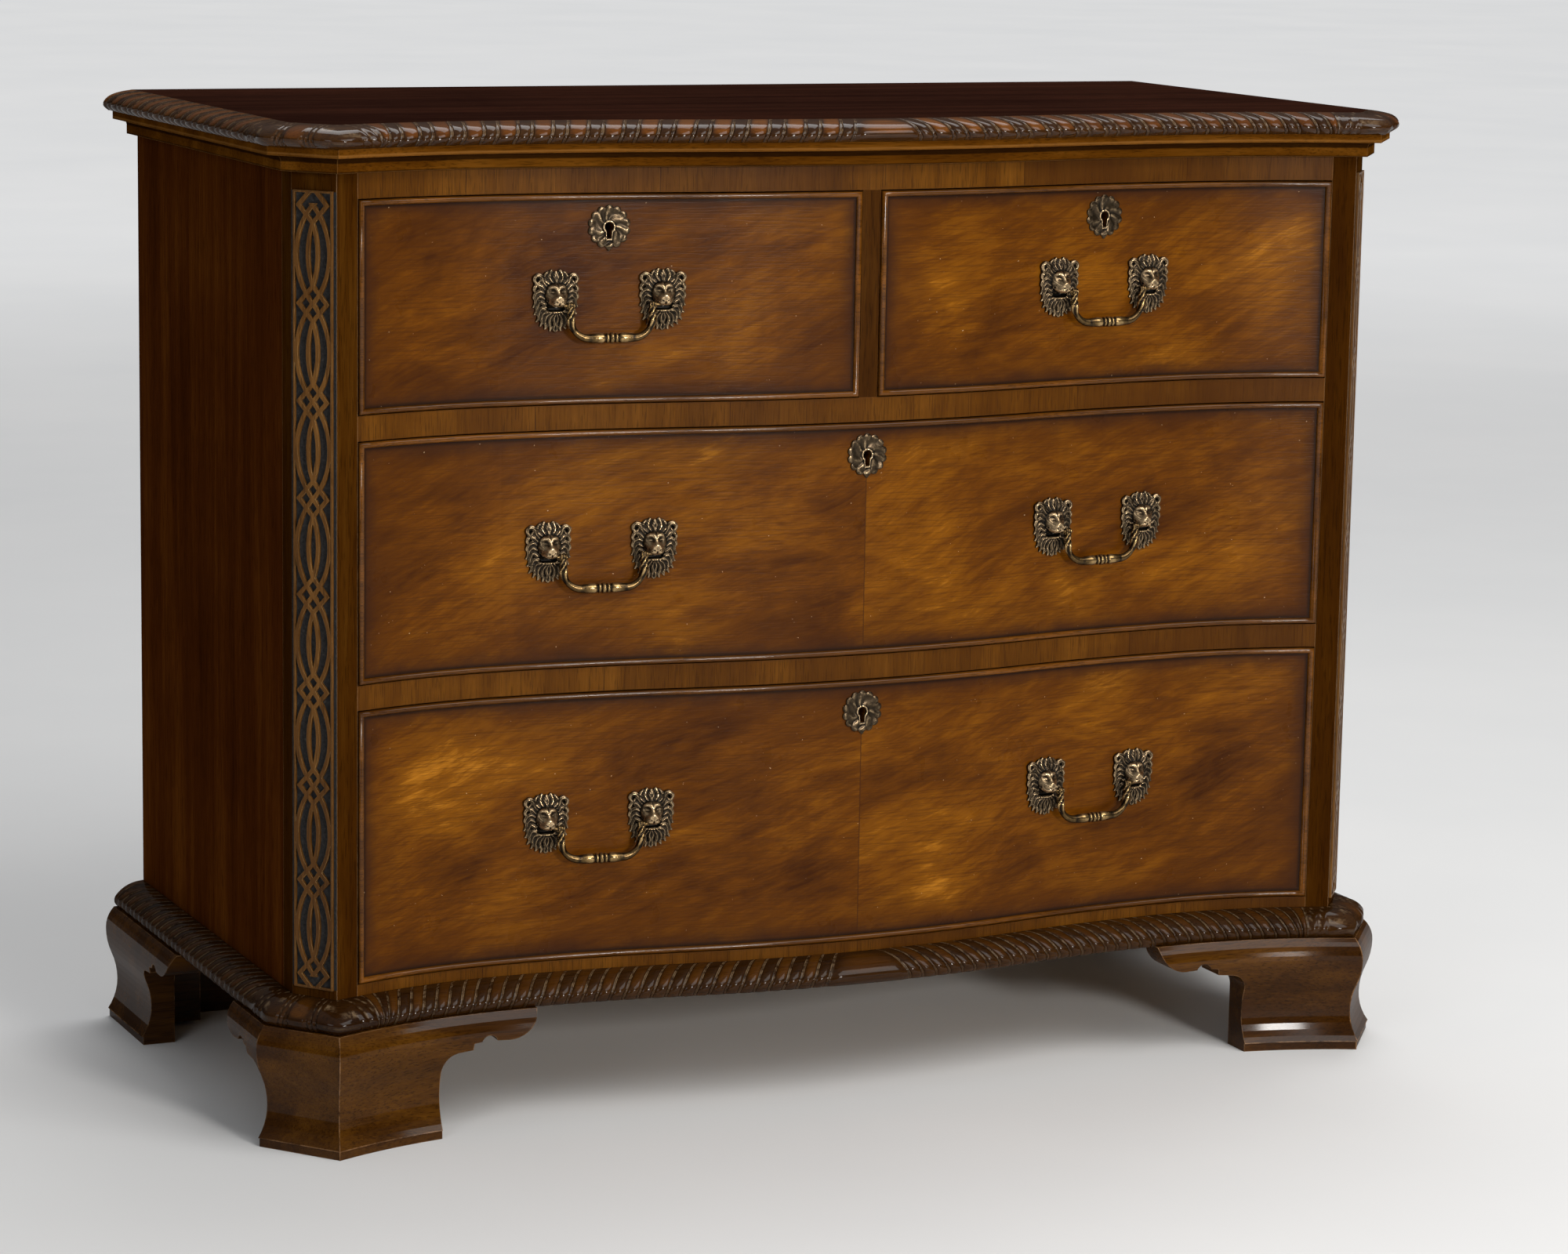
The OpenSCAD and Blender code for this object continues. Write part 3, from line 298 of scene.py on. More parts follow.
def wood_colour(paint, grain, dark, mid, light, seed=0.0):
    """Streaky wood along one axis: its colour and the height of its pores."""
    point = paint.object_point(GRAIN[grain], (seed, seed * 0.7, seed * 1.3))
    bands = paint.noise(point, 30, 5, 0.6, 0.4)
    clouds = paint.noise(paint.object_point(move=(seed, 0, 0)), 5, 3, 0.5)
    fibres = paint.noise(point, 420, 3, 0.6)
    share = paint.total(paint.times(bands, 0.55), paint.times(clouds, 0.3),
                        paint.times(fibres, 0.2))
    colour = paint.ramp(share, (0.36, dark), (0.52, mid), (0.68, light))
    pores = paint.rising(paint.noise(point, 900, 2, 0.5), 0.36, 0.46)
    return paint.pored(colour, pores, 0.45, [c * 0.35 for c in dark]), pores


def polished_wood(name, grain, tones, rough, coat, wear, worn=0.7, edge=0.0012, seed=0.0,
                  level=0.12):
    """Plain polished wood, soiled in patches and rubbed along its edges."""
    paint = Paint(name)
    colour, pores = wood_colour(paint, grain, *tones, seed)
    rim, normal = paint.edges(edge)
    patches = paint.rising(paint.spots(60, 4, 0.7), 0.35, 0.65)
    rubbed = paint.times(paint.rising(rim, 0.02, 0.2), patches)
    soil = paint.rising(paint.spots(9, 5, 0.7), 0.55, 0.8)
    colour = paint.layered(colour, (rubbed, worn, wear), (soil, 0.25, [c * 0.4 for c in tones[0]]))
    return paint.finish(colour, paint.gloss(rough - 0.08, 0.18), pores, 0.00015, 0.35, normal,
                        coat, 0.12, level=level)


SLANT, FAR_LEAF = 0.36, 0.83
FLAME = ((0.39, (0.036, 0.009, 0.0005)), (0.5, (0.098, 0.029, 0.001)),
         (0.585, (0.17, 0.057, 0.002)), (0.675, (0.4, 0.155, 0.011)))


def flame_veneer(name, x0, x1, z0, z1, seed, seam):
    """Figured veneer of a drawer front between x0, x1, z0, z1, with painted shade that darkens it
    towards its beads.
    """
    paint = Paint(name)
    x, _, z = paint.apart(paint.object_place())
    # The leaf right of a seam comes from another place of the wood
    jump = paint.times(paint.math("GREATER_THAN", x, 0.0), FAR_LEAF if seam else 0.0)
    bend = paint.noise(paint.object_point((1, 0.1, 1), (seed, 0, seed)), 2.6, 2, 0.5)
    across = paint.wobble(paint.total(z, paint.times(x, -SLANT)), bend, 0.1)
    along = paint.total(x, paint.times(z, SLANT))
    far = paint.total(jump, seed)
    slanted = paint.node("CombineXYZ", paint.total(along, far), far, paint.total(across, far))
    straight = paint.node("CombineXYZ", paint.total(x, far), far, z)

    def figure(place, per_x, per_z, detail, rough, twist=0.0):
        return paint.noise(paint.mapped(place, (per_x, 1, per_z)), 1, detail, rough, twist)

    flames = figure(slanted, 6, 13, 6, 0.6, 0.7)
    feather = figure(slanted, 22, 85, 5, 0.65, 0.4)
    lines = figure(slanted, 26, 420, 4, 0.6)
    clouds = figure(straight, 5, 8, 4, 0.55, 0.6)
    colour = paint.ramp(paint.total(
        paint.times(flames, 0.34), paint.times(feather, 0.22), paint.times(lines, 0.12),
        paint.times(clouds, 0.34)), *FLAME)
    pores = paint.rising(figure(straight, 30, 900, 2, 0.5), 0.38, 0.5)
    colour = paint.pored(colour, pores, 0.35, (0.04, 0.012, 0.002))

    # Painted shade towards the beads: a wide soft band, a ragged border with deeper corners, and a
    # black line along the bead
    side = paint.math("MINIMUM", paint.minus(x, x0), paint.minus(x1, x))
    end = paint.math("MINIMUM", paint.minus(z, z0), paint.minus(z1, z))
    border = paint.math("MINIMUM", side, end)
    place = paint.object_point((1, 0.2, 1), (seed, 0, 0))
    ragged = paint.noise(place, 22, 6, 0.7)
    reach = paint.wobble(border, ragged, 0.026)
    corner = paint.wobble(paint.total(side, end), ragged, 0.07)
    wide = paint.wobble(border, paint.noise(place, 9, 4, 0.6), 0.07)
    border_shade = paint.math("MAXIMUM", paint.falling(reach, 0.002, 0.022),
                       paint.falling(corner, 0.012, 0.055))
    # Painted shade: the wide band, the ragged border and corners, and the line along the bead
    colour = paint.layered(
        colour, (paint.falling(wide, 0.004, 0.06), 0.55, (0.05, 0.014, 0.001)),
        (border_shade, 0.86, (0.028, 0.009, 0.003)),
        (paint.falling(border, 0.0055, 0.009), 0.8, (0.012, 0.005, 0.002)))
    if seam:
        joint = paint.falling(paint.math("ABSOLUTE", x), 0.0003, 0.0008)
        colour = paint.layered(colour, (joint, 0.6, (0.03, 0.01, 0.003)))
    specks = paint.rising(paint.spots(420, 1, 0.5), 0.8, 0.83)
    colour = paint.layered(colour, (specks, 0.6, (0.6, 0.42, 0.25)))
    return paint.finish(colour, paint.gloss(0.2, 0.2, 18), pores, 0.0001, 0.3,
                        coat_rough=0.14, level=0.06)


BANDS_PER_M, ROWS_PER_M, ROW_OFFSET = 5.6, 4.3, 0.37


def crossband():
    """Rails faced with short pieces of upright grain that differ a little from each other."""
    paint = Paint("rail_veneer")
    colour, pores = wood_colour(paint, "z", (0.05, 0.016, 0.001), (0.088, 0.03, 0.002),
                                (0.15, 0.056, 0.005), 4.7)
    x, _, z = paint.apart(paint.object_place())
    row = paint.math("FLOOR", paint.times(z, ROWS_PER_M))
    place = paint.total(paint.times(x, BANDS_PER_M), paint.times(row, ROW_OFFSET))
    tint = paint.node("TexWhiteNoise", None, paint.math("FLOOR", place), noise_dimensions="1D")
    joint = paint.math("LESS_THAN", paint.math("FRACT", place), 0.004)
    stain = paint.rising(paint.noise(paint.object_point((0.5, 1, 1)), 13, 4, 0.6), 0.42, 0.7)
    rim, normal = paint.edges(0.001)
    colour = paint.layered(
        colour, (tint, 0.5, (0.04, 0.012, 0.001)), (joint, 0.7, (0.02, 0.006, 0.001)),
        (stain, 0.5, (0.045, 0.013, 0.001)),
        (paint.rising(rim, 0.03, 0.2), 0.6, (0.24, 0.09, 0.016)))
    return paint.finish(colour, paint.gloss(0.26, 0.18), pores, 0.00012, 0.3, normal, level=0.05)


# Heights of the moulding under the top, in metres
MOULD_TOP, MOULD_FILLET, MOULD_COVE, MOULD_BAND = 0.879, 0.008, 0.006, 0.008


def moulded_wood():
    """Moulding under the top: painted shade in the hollow and under the band, and a painted
    highlight along its fillet.
    """
    paint = Paint("moulding_mahogany")
    colour, pores = wood_colour(paint, "x", (0.04, 0.012, 0.001), (0.085, 0.028, 0.002),
                                (0.15, 0.056, 0.006), 3.3)
    fillet_z = MOULD_TOP - MOULD_FILLET
    cove_z = fillet_z - MOULD_COVE
    band_z = cove_z - MOULD_BAND
    z = paint.wobble(paint.apart(paint.object_place())[2],
                     paint.noise(paint.object_point((0.3, 1, 1)), 60, 4, 0.6), 0.0014)
    # Painted shade in the hollow of the cove and under the band, and a painted highlight on the
    # fillet
    hollow = paint.times(paint.rising(z, cove_z - 0.0003, cove_z + 0.001),
                         paint.falling(z, fillet_z - 0.0012, fillet_z + 0.0002))
    foot = paint.falling(z, band_z + 0.0002, band_z + 0.0022)
    painted_light = paint.times(paint.rising(z, fillet_z + 0.0004, fillet_z + 0.0016),
                      paint.falling(z, fillet_z + 0.0022, fillet_z + 0.0034))
    rim, normal = paint.edges(0.0012)
    colour = paint.layered(
        colour, (paint.math("MAXIMUM", hollow, foot), 0.85, (0.008, 0.003, 0.001)),
        (painted_light, 0.3, (0.3, 0.14, 0.035)), (paint.rising(rim, 0.03, 0.2), 0.5, (0.36, 0.17, 0.05)))
    return paint.finish(colour, paint.gloss(0.34, 0.18), pores, 0.00012, 0.3, normal, level=0.0)


def carved_wood(name, share, plain, lobe_light_tones, coat):
    """Carved edge, from the values of its mesh: painted shade in the grooves, painted light that
    turns the upper crests of the lobes orange, and pale ridges that are partly dust and partly
    painted highlight.
    """
    paint = Paint(name)
    depth, tone, ridge = paint.named("depth"), paint.named("tone"), paint.named("ridge")
    wood, pores = wood_colour(paint, "x", *plain)
    lobes, _ = wood_colour(paint, "x", *lobe_light_tones, 0.31)
    dust = paint.rising(paint.spots(160, 4, 0.7), 0.38, 0.6)
    # Painted shade darkens the grooves by their depth. Painted light turns the lobes' upper crests
    # orange. The ridges turn pale where dusty, and more on the upper part, where they carry painted
    # highlight
    colour = paint.layered(
        wood, (paint.rising(tone, 0.3, 0.95), share, lobes),
        (paint.rising(depth, 0.4, 0.95), 0.9, (0.004, 0.002, 0.001)),
        (paint.times(ridge, dust), 0.55, (0.3, 0.2, 0.11)))
    rough = paint.total(paint.gloss(0.14, 0.16, 120), paint.times(depth, 0.4))
    return paint.finish(colour, rough, pores, 0.00015, 0.3, coat=coat, level=0.0)


POST_TONES = ((0.021, 0.006, 0.001), (0.038, 0.012, 0.001), (0.07, 0.026, 0.003))
CANT_FACING, FRET_BAND = (0.6, 0.9), (0.1415, 0.8405)


def fretted_post():
    """Corner posts: polished wood with a grey ground between the straps on the canted face."""
    paint = Paint("post_with_ground")
    colour, pores = wood_colour(paint, "z", *POST_TONES, 2.1)
    rim, normal = paint.edges(0.0012)
    colour = paint.layered(colour, (paint.rising(rim, 0.02, 0.2), 0.6, (0.5, 0.3, 0.15)))
    facing = paint.math("ABSOLUTE", paint.apart(paint.node("NewGeometry", out=3))[0])
    band = paint.within(paint.apart(paint.object_place())[2], *FRET_BAND)
    share = paint.times(paint.within(facing, *CANT_FACING), band)
    dust = paint.spots(400, 4, 0.7)
    ground = paint.ramp(dust, (0.3, (0.016, 0.015, 0.015)), (0.6, (0.034, 0.032, 0.031)),
                        (0.85, (0.1, 0.092, 0.08)))
    rough = paint.total(0.3, paint.times(share, 0.45))
    return paint.finish(paint.mix(share, colour, ground), rough,
                        paint.total(pores, paint.times(dust, share)), 0.0002, 0.4, normal,
                        level=0.0)


def old_brass(name, dark, mid, bright, rough):
    """Cast brass with a dark patina that is rubbed away on its high parts."""
    paint = Paint(name)
    height = paint.named("relief")
    share = paint.wobble(height, paint.spots(260, 4, 0.65), 0.5)
    colour = paint.ramp(share, (0.34, dark), (0.58, mid), (0.92, bright))
    gloss = paint.total(rough + 0.12, paint.times(height, -0.2))
    return paint.finish(colour, gloss, paint.spots(900, 3, 0.6), 0.0002, 0.35, metal=0.85)


def lock_iron():
    """Iron of the locks and studs, rusty in places."""
    paint = Paint("lock_iron")
    patches = paint.spots(90, 5, 0.65)
    colour = paint.ramp(patches, (0.3, (0.05, 0.03, 0.02)), (0.6, (0.2, 0.19, 0.18)),
                        (0.8, (0.34, 0.33, 0.31)))
    gloss = paint.total(0.35, paint.times(patches, 0.3))
    return paint.finish(colour, gloss, patches, 0.0003, 0.4, metal=0.8)


# Materials: name, grain, dark, middle and light tone, roughness, coat, tone of the worn edges
RUBBED, RUBBED_OAK = (0.2, 0.08, 0.02), (0.46, 0.34, 0.2)
side_wood = polished_wood(
    "side_mahogany", "z", ((0.03, 0.007, 0.001), (0.056, 0.014, 0.002), (0.1, 0.03, 0.004)),
    0.5, 0.0, RUBBED, level=0.0)
post_wood = polished_wood("post_mahogany", "z", POST_TONES, 0.42, 0.0, RUBBED, seed=2.1, level=0.02)
top_wood = polished_wood(
    "top_mahogany", "x", ((0.012, 0.004, 0.003), (0.022, 0.008, 0.005), (0.036, 0.012, 0.007)),
    0.3, 0.0, (0.16, 0.07, 0.03), seed=1.3, level=0.0)
foot_wood = polished_wood(
    "foot_mahogany", "x", ((0.016, 0.005, 0.0005), (0.036, 0.012, 0.001), (0.08, 0.03, 0.003)),
    0.2, 0.3, (0.5, 0.27, 0.12), worn=0.8, edge=0.0016, seed=5.9, level=0.0)
bead_wood = polished_wood(
    "bead_mahogany", "x", ((0.03, 0.009, 0.001), (0.075, 0.025, 0.002), (0.16, 0.055, 0.006)),
    0.2, 0.42, (0.55, 0.33, 0.16), worn=0.2, seed=6.5, level=0.0)
fret_wood = polished_wood(
    "fret_mahogany", "z", ((0.045, 0.017, 0.003), (0.1, 0.04, 0.007), (0.2, 0.09, 0.02)),
    0.4, 0.0, (0.42, 0.27, 0.11), worn=0.8, edge=0.0007, seed=7.7)
oak_wood = polished_wood(
    "oak_boards", "x", ((0.15, 0.088, 0.038), (0.24, 0.15, 0.07), (0.35, 0.235, 0.12)),
    0.62, 0.0, RUBBED_OAK, worn=0.4, seed=8.3)
oak_side = polished_wood(
    "oak_drawer_sides", "y", ((0.17, 0.1, 0.045), (0.27, 0.17, 0.08), (0.38, 0.26, 0.14)),
    0.6, 0.0, RUBBED_OAK, worn=0.4, seed=9.1)
rail_wood = crossband()
moulding_wood = moulded_wood()
carved_top = carved_wood(
    "carved_top_mahogany", 0.85,
    ((0.018, 0.006, 0.001), (0.034, 0.012, 0.002), (0.06, 0.023, 0.004)),
    ((0.07, 0.02, 0.002), (0.125, 0.037, 0.003), (0.2, 0.068, 0.007)), 0.5)
carved_base = carved_wood(
    "carved_base_mahogany", 0.6,
    ((0.012, 0.004, 0.001), (0.024, 0.009, 0.002), (0.042, 0.016, 0.003)),
    ((0.033, 0.01, 0.001), (0.058, 0.019, 0.002), (0.1, 0.035, 0.004)), 0.3)
brass = old_brass("old_brass", (0.004, 0.003, 0.002), (0.046, 0.03, 0.015), (0.55, 0.39, 0.22),
                  0.26)
bail_brass = old_brass("bail_brass", (0.01, 0.006, 0.003), (0.125, 0.075, 0.026),
                       (0.48, 0.32, 0.14), 0.2)
iron = lock_iron()
post_ground = fretted_post()


def front_box(drawer):
    """Left, right, low and high edge of a drawer front."""
    (x0, x1), (z0, high) = SIDES[drawer], OPENINGS[drawer]
    return x0 + FRONT_GAP, x1 - FRONT_GAP, z0 + FRONT_GAP, z0 + high - FRONT_GAP


veneers = {}
for number, drawer in enumerate(OPENINGS):
    edges = [edge / MM_PER_M for edge in front_box(drawer)]
    veneers[drawer] = flame_veneer("veneer_" + drawer, *edges, 1.7 + 2.9 * number,
                                   drawer in ("bottom", "middle"))

CASE_MATERIALS = {name: material for material, names in (
    (side_wood, "left_side right_side"),
    (oak_wood, "back_boards case_bottom dust_boards"),
    (oak_side, "drawer_runners"),
    (post_ground, "corner_post_left corner_post_right"),
    (fret_wood, "corner_frets"),
    (rail_wood, "top_rail upper_blade lower_blade bottom_rail"),
    (post_wood, "top_divider"),
    (top_wood, "top_board"),
    (moulding_wood, "top_moulding"),
    (foot_wood, "foot_front_left foot_front_right foot_rear_left foot_rear_right"),
    (carved_top, "top_gadroon base_gadroon"),
) for name in names.split()}
DRAWER_MATERIALS = {
    "box": oak_side, "bottom": oak_wood, "lock": iron, "studs": iron, "masks": brass,
    "escutcheon": brass, "bail": bail_brass, "cockbead": bead_wood,
}
for name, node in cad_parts.items():
    owner, _, kind = name.rpartition("_")
    material = CASE_MATERIALS.get(name) or DRAWER_MATERIALS.get(kind) or veneers[owner]
    node.data.materials.clear()
    node.data.materials.append(material)


# Carved edges: lobes swept along the front, the canted corners and the sides
CURVE_GAP = 0.3
FRONT_EDGE = np.array([CORNER_X, 0.0])
SIDE_EDGE = np.array([HALF_W, CANT[1]])
CANT_L = float(np.hypot(*CANT))
CANT_WAY = CANT / CANT_L
CANT_N = np.array([CANT_WAY[1], -CANT_WAY[0]])
END_N = np.array([-math.sin(END_TURN), -math.cos(END_TURN)])
SIDE_N = np.array([1.0, 0.0])
SWELL_L, HOLLOW_L = SWELL_R * TURN, HOLLOW_R * TURN
FRONT_L = SWELL_L + HOLLOW_L + END_R * END_TURN


def on_arc(x, y, radius, angle, outwards):
    """A point of an arc and the direction away from the case there."""
    way = np.array([math.cos(angle), math.sin(angle)])
    return np.array([x, y]) + radius * way, outwards * way


def base_line(zone, s):
    """A point of the case's outline and the direction away from the case there."""
    if zone == "front":
        if s < SWELL_L:
            return on_arc(0, SWELL_R, SWELL_R, -math.pi / 2 + s / SWELL_R, 1)
        if s < SWELL_L + HOLLOW_L:
            angle = math.pi / 2 + TURN - (s - SWELL_L) / HOLLOW_R
            return on_arc(HOLLOW_X, HOLLOW_DIP - HOLLOW_R, HOLLOW_R, angle, -1)
        angle = math.pi / 2 - (s - SWELL_L - HOLLOW_L) / END_R
        return on_arc(HOLLOW_X, HOLLOW_DIP - END_R, END_R, angle, -1)
    if zone == "front_mitre":
        return FRONT_EDGE, (CANT_N + END_N) / (1 + CANT_N @ END_N)
    if zone == "cant":
        return FRONT_EDGE + s * CANT_WAY, CANT_N
    if zone == "side_mitre":
        return SIDE_EDGE, (CANT_N + SIDE_N) / (1 + CANT_N @ SIDE_N)
    return SIDE_EDGE + [0, s], SIDE_N


# Shares of a pair of lobes: the fillet between two lobes, and stations across a lobe's arch
FILLET = 0.07
HALF = FILLET / 2
FLANK = HALF * 0.9
ARCH = [0.03, 0.09, 0.18, 0.3, 0.42, 0.5, 0.58, 0.7, 0.82, 0.91, 0.97]
# Depth, warmth of the painted light and ridge of a fillet's side and middle, of the groove beside
# it, of a run's end
FILLET_SIDE, FILLET_TOP, GROOVE = (0.42, 0.0, 1.0), (0.62, 0.0, 0.1), (1.0, 0.0, 0.0)
RUN_END = (0.7, 0, 0.5)
FIRST_LOBE_H = 0.86


def lobe_phases(narrow):
    """Stations along a pair of lobes, of which the first takes the share narrow."""
    out = [0.0, FLANK, HALF]
    out += [HALF + (narrow - FILLET) * v for v in ARCH]
    out += [narrow - HALF, narrow - FLANK, narrow, narrow + FLANK, narrow + HALF]
    return out + [narrow + HALF + (1 - narrow - FILLET) * v for v in ARCH] + [1 - HALF, 1 - FLANK]


def lobe(u, narrow):
    """Depth, warmth of the painted light and ridge at the phase u of two round lobes between narrow
    fillets.
    """
    near = min(abs(u), abs(u - narrow), abs(1 - u))
    if near < HALF * 0.95:
        return FILLET_SIDE if near > HALF * 0.5 else FILLET_TOP
    if near < HALF * 1.05:
        return GROOVE
    first = u < narrow
    v = (u - HALF) / (narrow - FILLET) if first else (u - narrow - HALF) / (1 - narrow - FILLET)
    arch = math.sqrt(max(0.0, 1 - (2 * v - 1) ** 2))
    return 1 - arch * (FIRST_LOBE_H if first else 1.0), 0.0 if first else arch, 0.0


BOSS_L, LEAF_L, LEAF_STEPS, CANT_STEPS = 40.0, 26.0, 12, 40
BOSS_SHARES = (0, 0.12, 0.24, 0.36, 0.48, 0.6, 0.7, 0.79, 0.86, 0.91, 0.95, 0.98)
BOSS_RIM, CANT_BOSS = 0.86, 0.22


def boss(share, low):
    """A smooth boss with a groove round it; share is how far the station is from its middle."""
    def shape(t):
        body = max(0.0, 1 - share ** 2) ** 0.5
        arch = math.sin(math.pi * min(1, max(0, t * 0.9 + 0.08)))
        groove = 0.9 * max(0.0, share - BOSS_RIM) / (1 - BOSS_RIM)
        return groove - low * body * arch, body * arch, 0.6 if share > 0.97 else 0.0
    return shape


def leaf(v, turn):
    """A leaf with slanting ribs; v is the station's share of its length."""
    def shape(t):
        rib = abs(math.sin(math.pi * (2.6 * v + turn * t * 1.3)))
        return 0.8 - 0.75 * rib ** 0.7, 0.25 * rib, 0.8 if rib < 0.16 else 0.0
    return shape


def carved_stations(side_l, slope, pair, narrow):
    """Stations along half of the edge: zone, distance, lean and a function of the height."""
    out = [("front", share * BOSS_L / 2, slope * share ** 2, boss(share, 0.5))
           for share in BOSS_SHARES]

    def run(zone, s0, s1):
        count = round((s1 - s0) / pair)
        u = (s1 - s0) / count
        for i in range(count):
            for phase in lobe_phases(narrow):
                s = s0 + (i + phase) * u
                lean = slope * min(1, (s1 - s) / (1.5 * slope + 0.01))
                out.append((zone, s, lean, lambda t, values=lobe(phase, narrow): values))
        out.append((zone, s1, 0, lambda t: RUN_END))

    leaf_shares = [k / LEAF_STEPS for k in range(1, LEAF_STEPS)]
    run("front", BOSS_L / 2, FRONT_L - LEAF_L)
    out += [("front", FRONT_L - LEAF_L * (1 - v), 0, leaf(v, 1)) for v in leaf_shares]
    out.append(("front_mitre", 0, 0, leaf(0.0, -1)))
    for c in [k / CANT_STEPS for k in range(1, CANT_STEPS)]:
        far = abs(c - 0.5)
        past = (far - CANT_BOSS) / (0.5 - CANT_BOSS)
        shape = boss(far / CANT_BOSS, 0.7) if far < CANT_BOSS else leaf(past, -1)
        out.append(("cant", c * CANT_L, 0, shape))
    out.append(("side_mitre", 0, 0, leaf(0.0, -1)))
    out += [("side", LEAF_L * v, 0, leaf(1 - v, 1)) for v in leaf_shares]
    run("side", LEAF_L, side_l)
    return out


def spline(points, count):
    """Points on a smooth curve through the given ones, with their place along it from 0 to 1."""
    p = np.array([points[0], *points, points[-1]], float)
    places = np.linspace(0, len(points) - 1, count)
    curve = []
    for place in places:
        i = min(int(place), len(points) - 2)
        f = place - i
        a, b, c, d = p[i:i + 4]
        curve.append(0.5 * (2 * b + (c - a) * f + (2 * a - 5 * b + 4 * c - d) * f ** 2
                            + (3 * b - a - 3 * c + d) * f ** 3))
    return np.array(curve), places / (len(points) - 1)


# How deep the carving is at even steps down the section, and how soon its painted light fades
RELIEF = [0.1, 0.7, 1, 1, 0.9, 0.5]
FADE = 0.14
SECTION_POINTS = 17


def carved_edge(name, node, wood, top, section, inner, high, side_l,
                slope, pair, narrow, groove, fade):
    """Lobes carved into a section (reach, height under top) that sweeps round the case."""
    curve, places = spline(section, SECTION_POINTS)
    amount = np.interp(places, np.linspace(0, 1, len(RELIEF)), RELIEF)
    curve[:, 0] = np.minimum(curve[:, 0], max(p[0] for p in section))
    half = []
    for zone, s, lean, shape in carved_stations(side_l, slope, pair, narrow):
        row, marks = [], []
        for (reach, z), t, share in zip(curve, places, amount):
            depth, tone, ridge = shape(t)
            point, way = base_line(zone, s + lean * math.sin(math.pi / 2 * t))
            point = point + way * (reach - groove * share * depth)
            row.append((point[0], point[1], z))
            # Painted light: on the upper part of the section the lobes turn orange and the ridges
            # pale. Below fade the orange goes, and the ridges keep a third of their pale
            painted_light = np.clip((fade - t) / FADE, 0, 1)
            marks.append((max(0, depth) * min(1, share * 1.4), tone * painted_light,
                          ridge * (0.3 + 0.7 * painted_light)))
        for far, z in ((s + lean, -high), (s, 0)):
            point, way = base_line(zone, far)
            row.append((*(point + way * inner), z))
            marks.append((0, 0, 0))
        half.append((row, marks))
    mirrored = [([(-x, y, z) for x, y, z in row], marks) for row, marks in half[:0:-1]]
    rows = mirrored + half
    width = len(rows[0][0])
    points = np.array([p for row, _ in rows for p in row]) + [0, 0, top]
    marks = np.array([m for _, row in rows for m in row])
    faces = grid_faces(len(rows), width)
    faces += [list(range(width)), [(len(rows) - 1) * width + j for j in range(width)][::-1]]
    make_piece(name, points, faces, wood, "case", node,
               dict(zip(("depth", "tone", "ridge"), marks.T)))


TOP_REACH, TOP_NOSE, TOP_T, TOP_END = 3.0, 33.0, 19.0, CASE_D + 4.0
TOP_SECTION = [(TOP_REACH + 1, 0), (TOP_NOSE - 17, -1.6), (TOP_NOSE - 6, -5), (TOP_NOSE, -11),
               (TOP_NOSE - 0.5, -15), (TOP_NOSE - 5, -TOP_T)]
BASE_NOSE, BASE_H = 30.0, 24.0
BASE_SECTION = [(1, 0), (BASE_NOSE - 18, -1.5), (BASE_NOSE - 8, -6), (BASE_NOSE - 1, -13),
                (BASE_NOSE, -19), (BASE_NOSE - 3.5, -BASE_H)]
carved_edge("carved_top_edge", "top_gadroon", carved_top, TOTAL_H, TOP_SECTION,
            TOP_REACH + CURVE_GAP, TOP_T, TOP_END - CANT[1],
            slope=13.0, pair=34.0, narrow=0.41, groove=4.4, fade=0.68)
carved_edge("carved_base_edge", "base_gadroon", carved_base, FOOT_H + BASE_H, BASE_SECTION,
            CURVE_GAP, BASE_H, CASE_D - CANT[1],
            slope=22.0, pair=28.0, narrow=0.49, groove=3.6, fade=0.66)


# Lion masks in relief. Locks of half the mane: points, half width, height at root and tip
LOCKS = [
    ([(0, 20), (1.4, 24), (0.5, 27.6), (-1.2, 31)], 2.3, 5.6, 2.2),
    ([(3.2, 19.5), (5.8, 23.5), (5.4, 28), (3.4, 31.2)], 2.5, 5.2, 2.2),
    ([(6.6, 18.5), (9.9, 21.6), (10.2, 25.8), (7.8, 29.4)], 2.4, 5.0, 2.2),
    ([(8.5, 16), (11.6, 20.5), (14, 25.6), (18.4, 26), (19.6, 22), (16.8, 19.6), (14.9, 22)],
     2.6, 4.8, 3.8),
    ([(10.4, 13.6), (13.8, 17.4), (18, 17.4), (19.8, 13.8), (17.2, 12.2)], 2.5, 4.8, 3.2),
    ([(10.8, 10.5), (14.4, 12.4), (18.2, 10.6), (19.8, 6.8), (18, 4.8)], 2.5, 4.7, 2.8),
    ([(11, 6), (14.8, 8), (17.6, 5.4), (18.4, 1.4), (20.4, -1.6)], 2.5, 4.6, 2.0),
    ([(11, 1.5), (14.5, 3.2), (16.6, -0.6), (17, -5), (19.4, -8)], 2.4, 4.6, 2.0),
    ([(10, -3), (13.4, -2.8), (15.2, -6.8), (15.2, -11.2), (17.6, -14.4)], 2.4, 4.6, 2.0),
    ([(8, -6), (11.6, -7), (13, -11), (12.2, -15), (14, -18.6)], 2.3, 4.6, 2.0),
    ([(5.4, -7.4), (8.4, -9.6), (9.8, -14), (8.6, -18), (9.8, -21.2)], 2.2, 4.6, 2.0),
    ([(2.6, -8), (5.2, -11.4), (5.8, -16), (4.2, -19.6), (5, -22.8)], 2.2, 4.8, 2.0),
    ([(0.6, -8), (1.8, -12), (0.6, -16.6), (1.8, -20.6), (0.2, -23.4)], 2.1, 5.0, 2.0),
]
LOCK_POINTS = 15
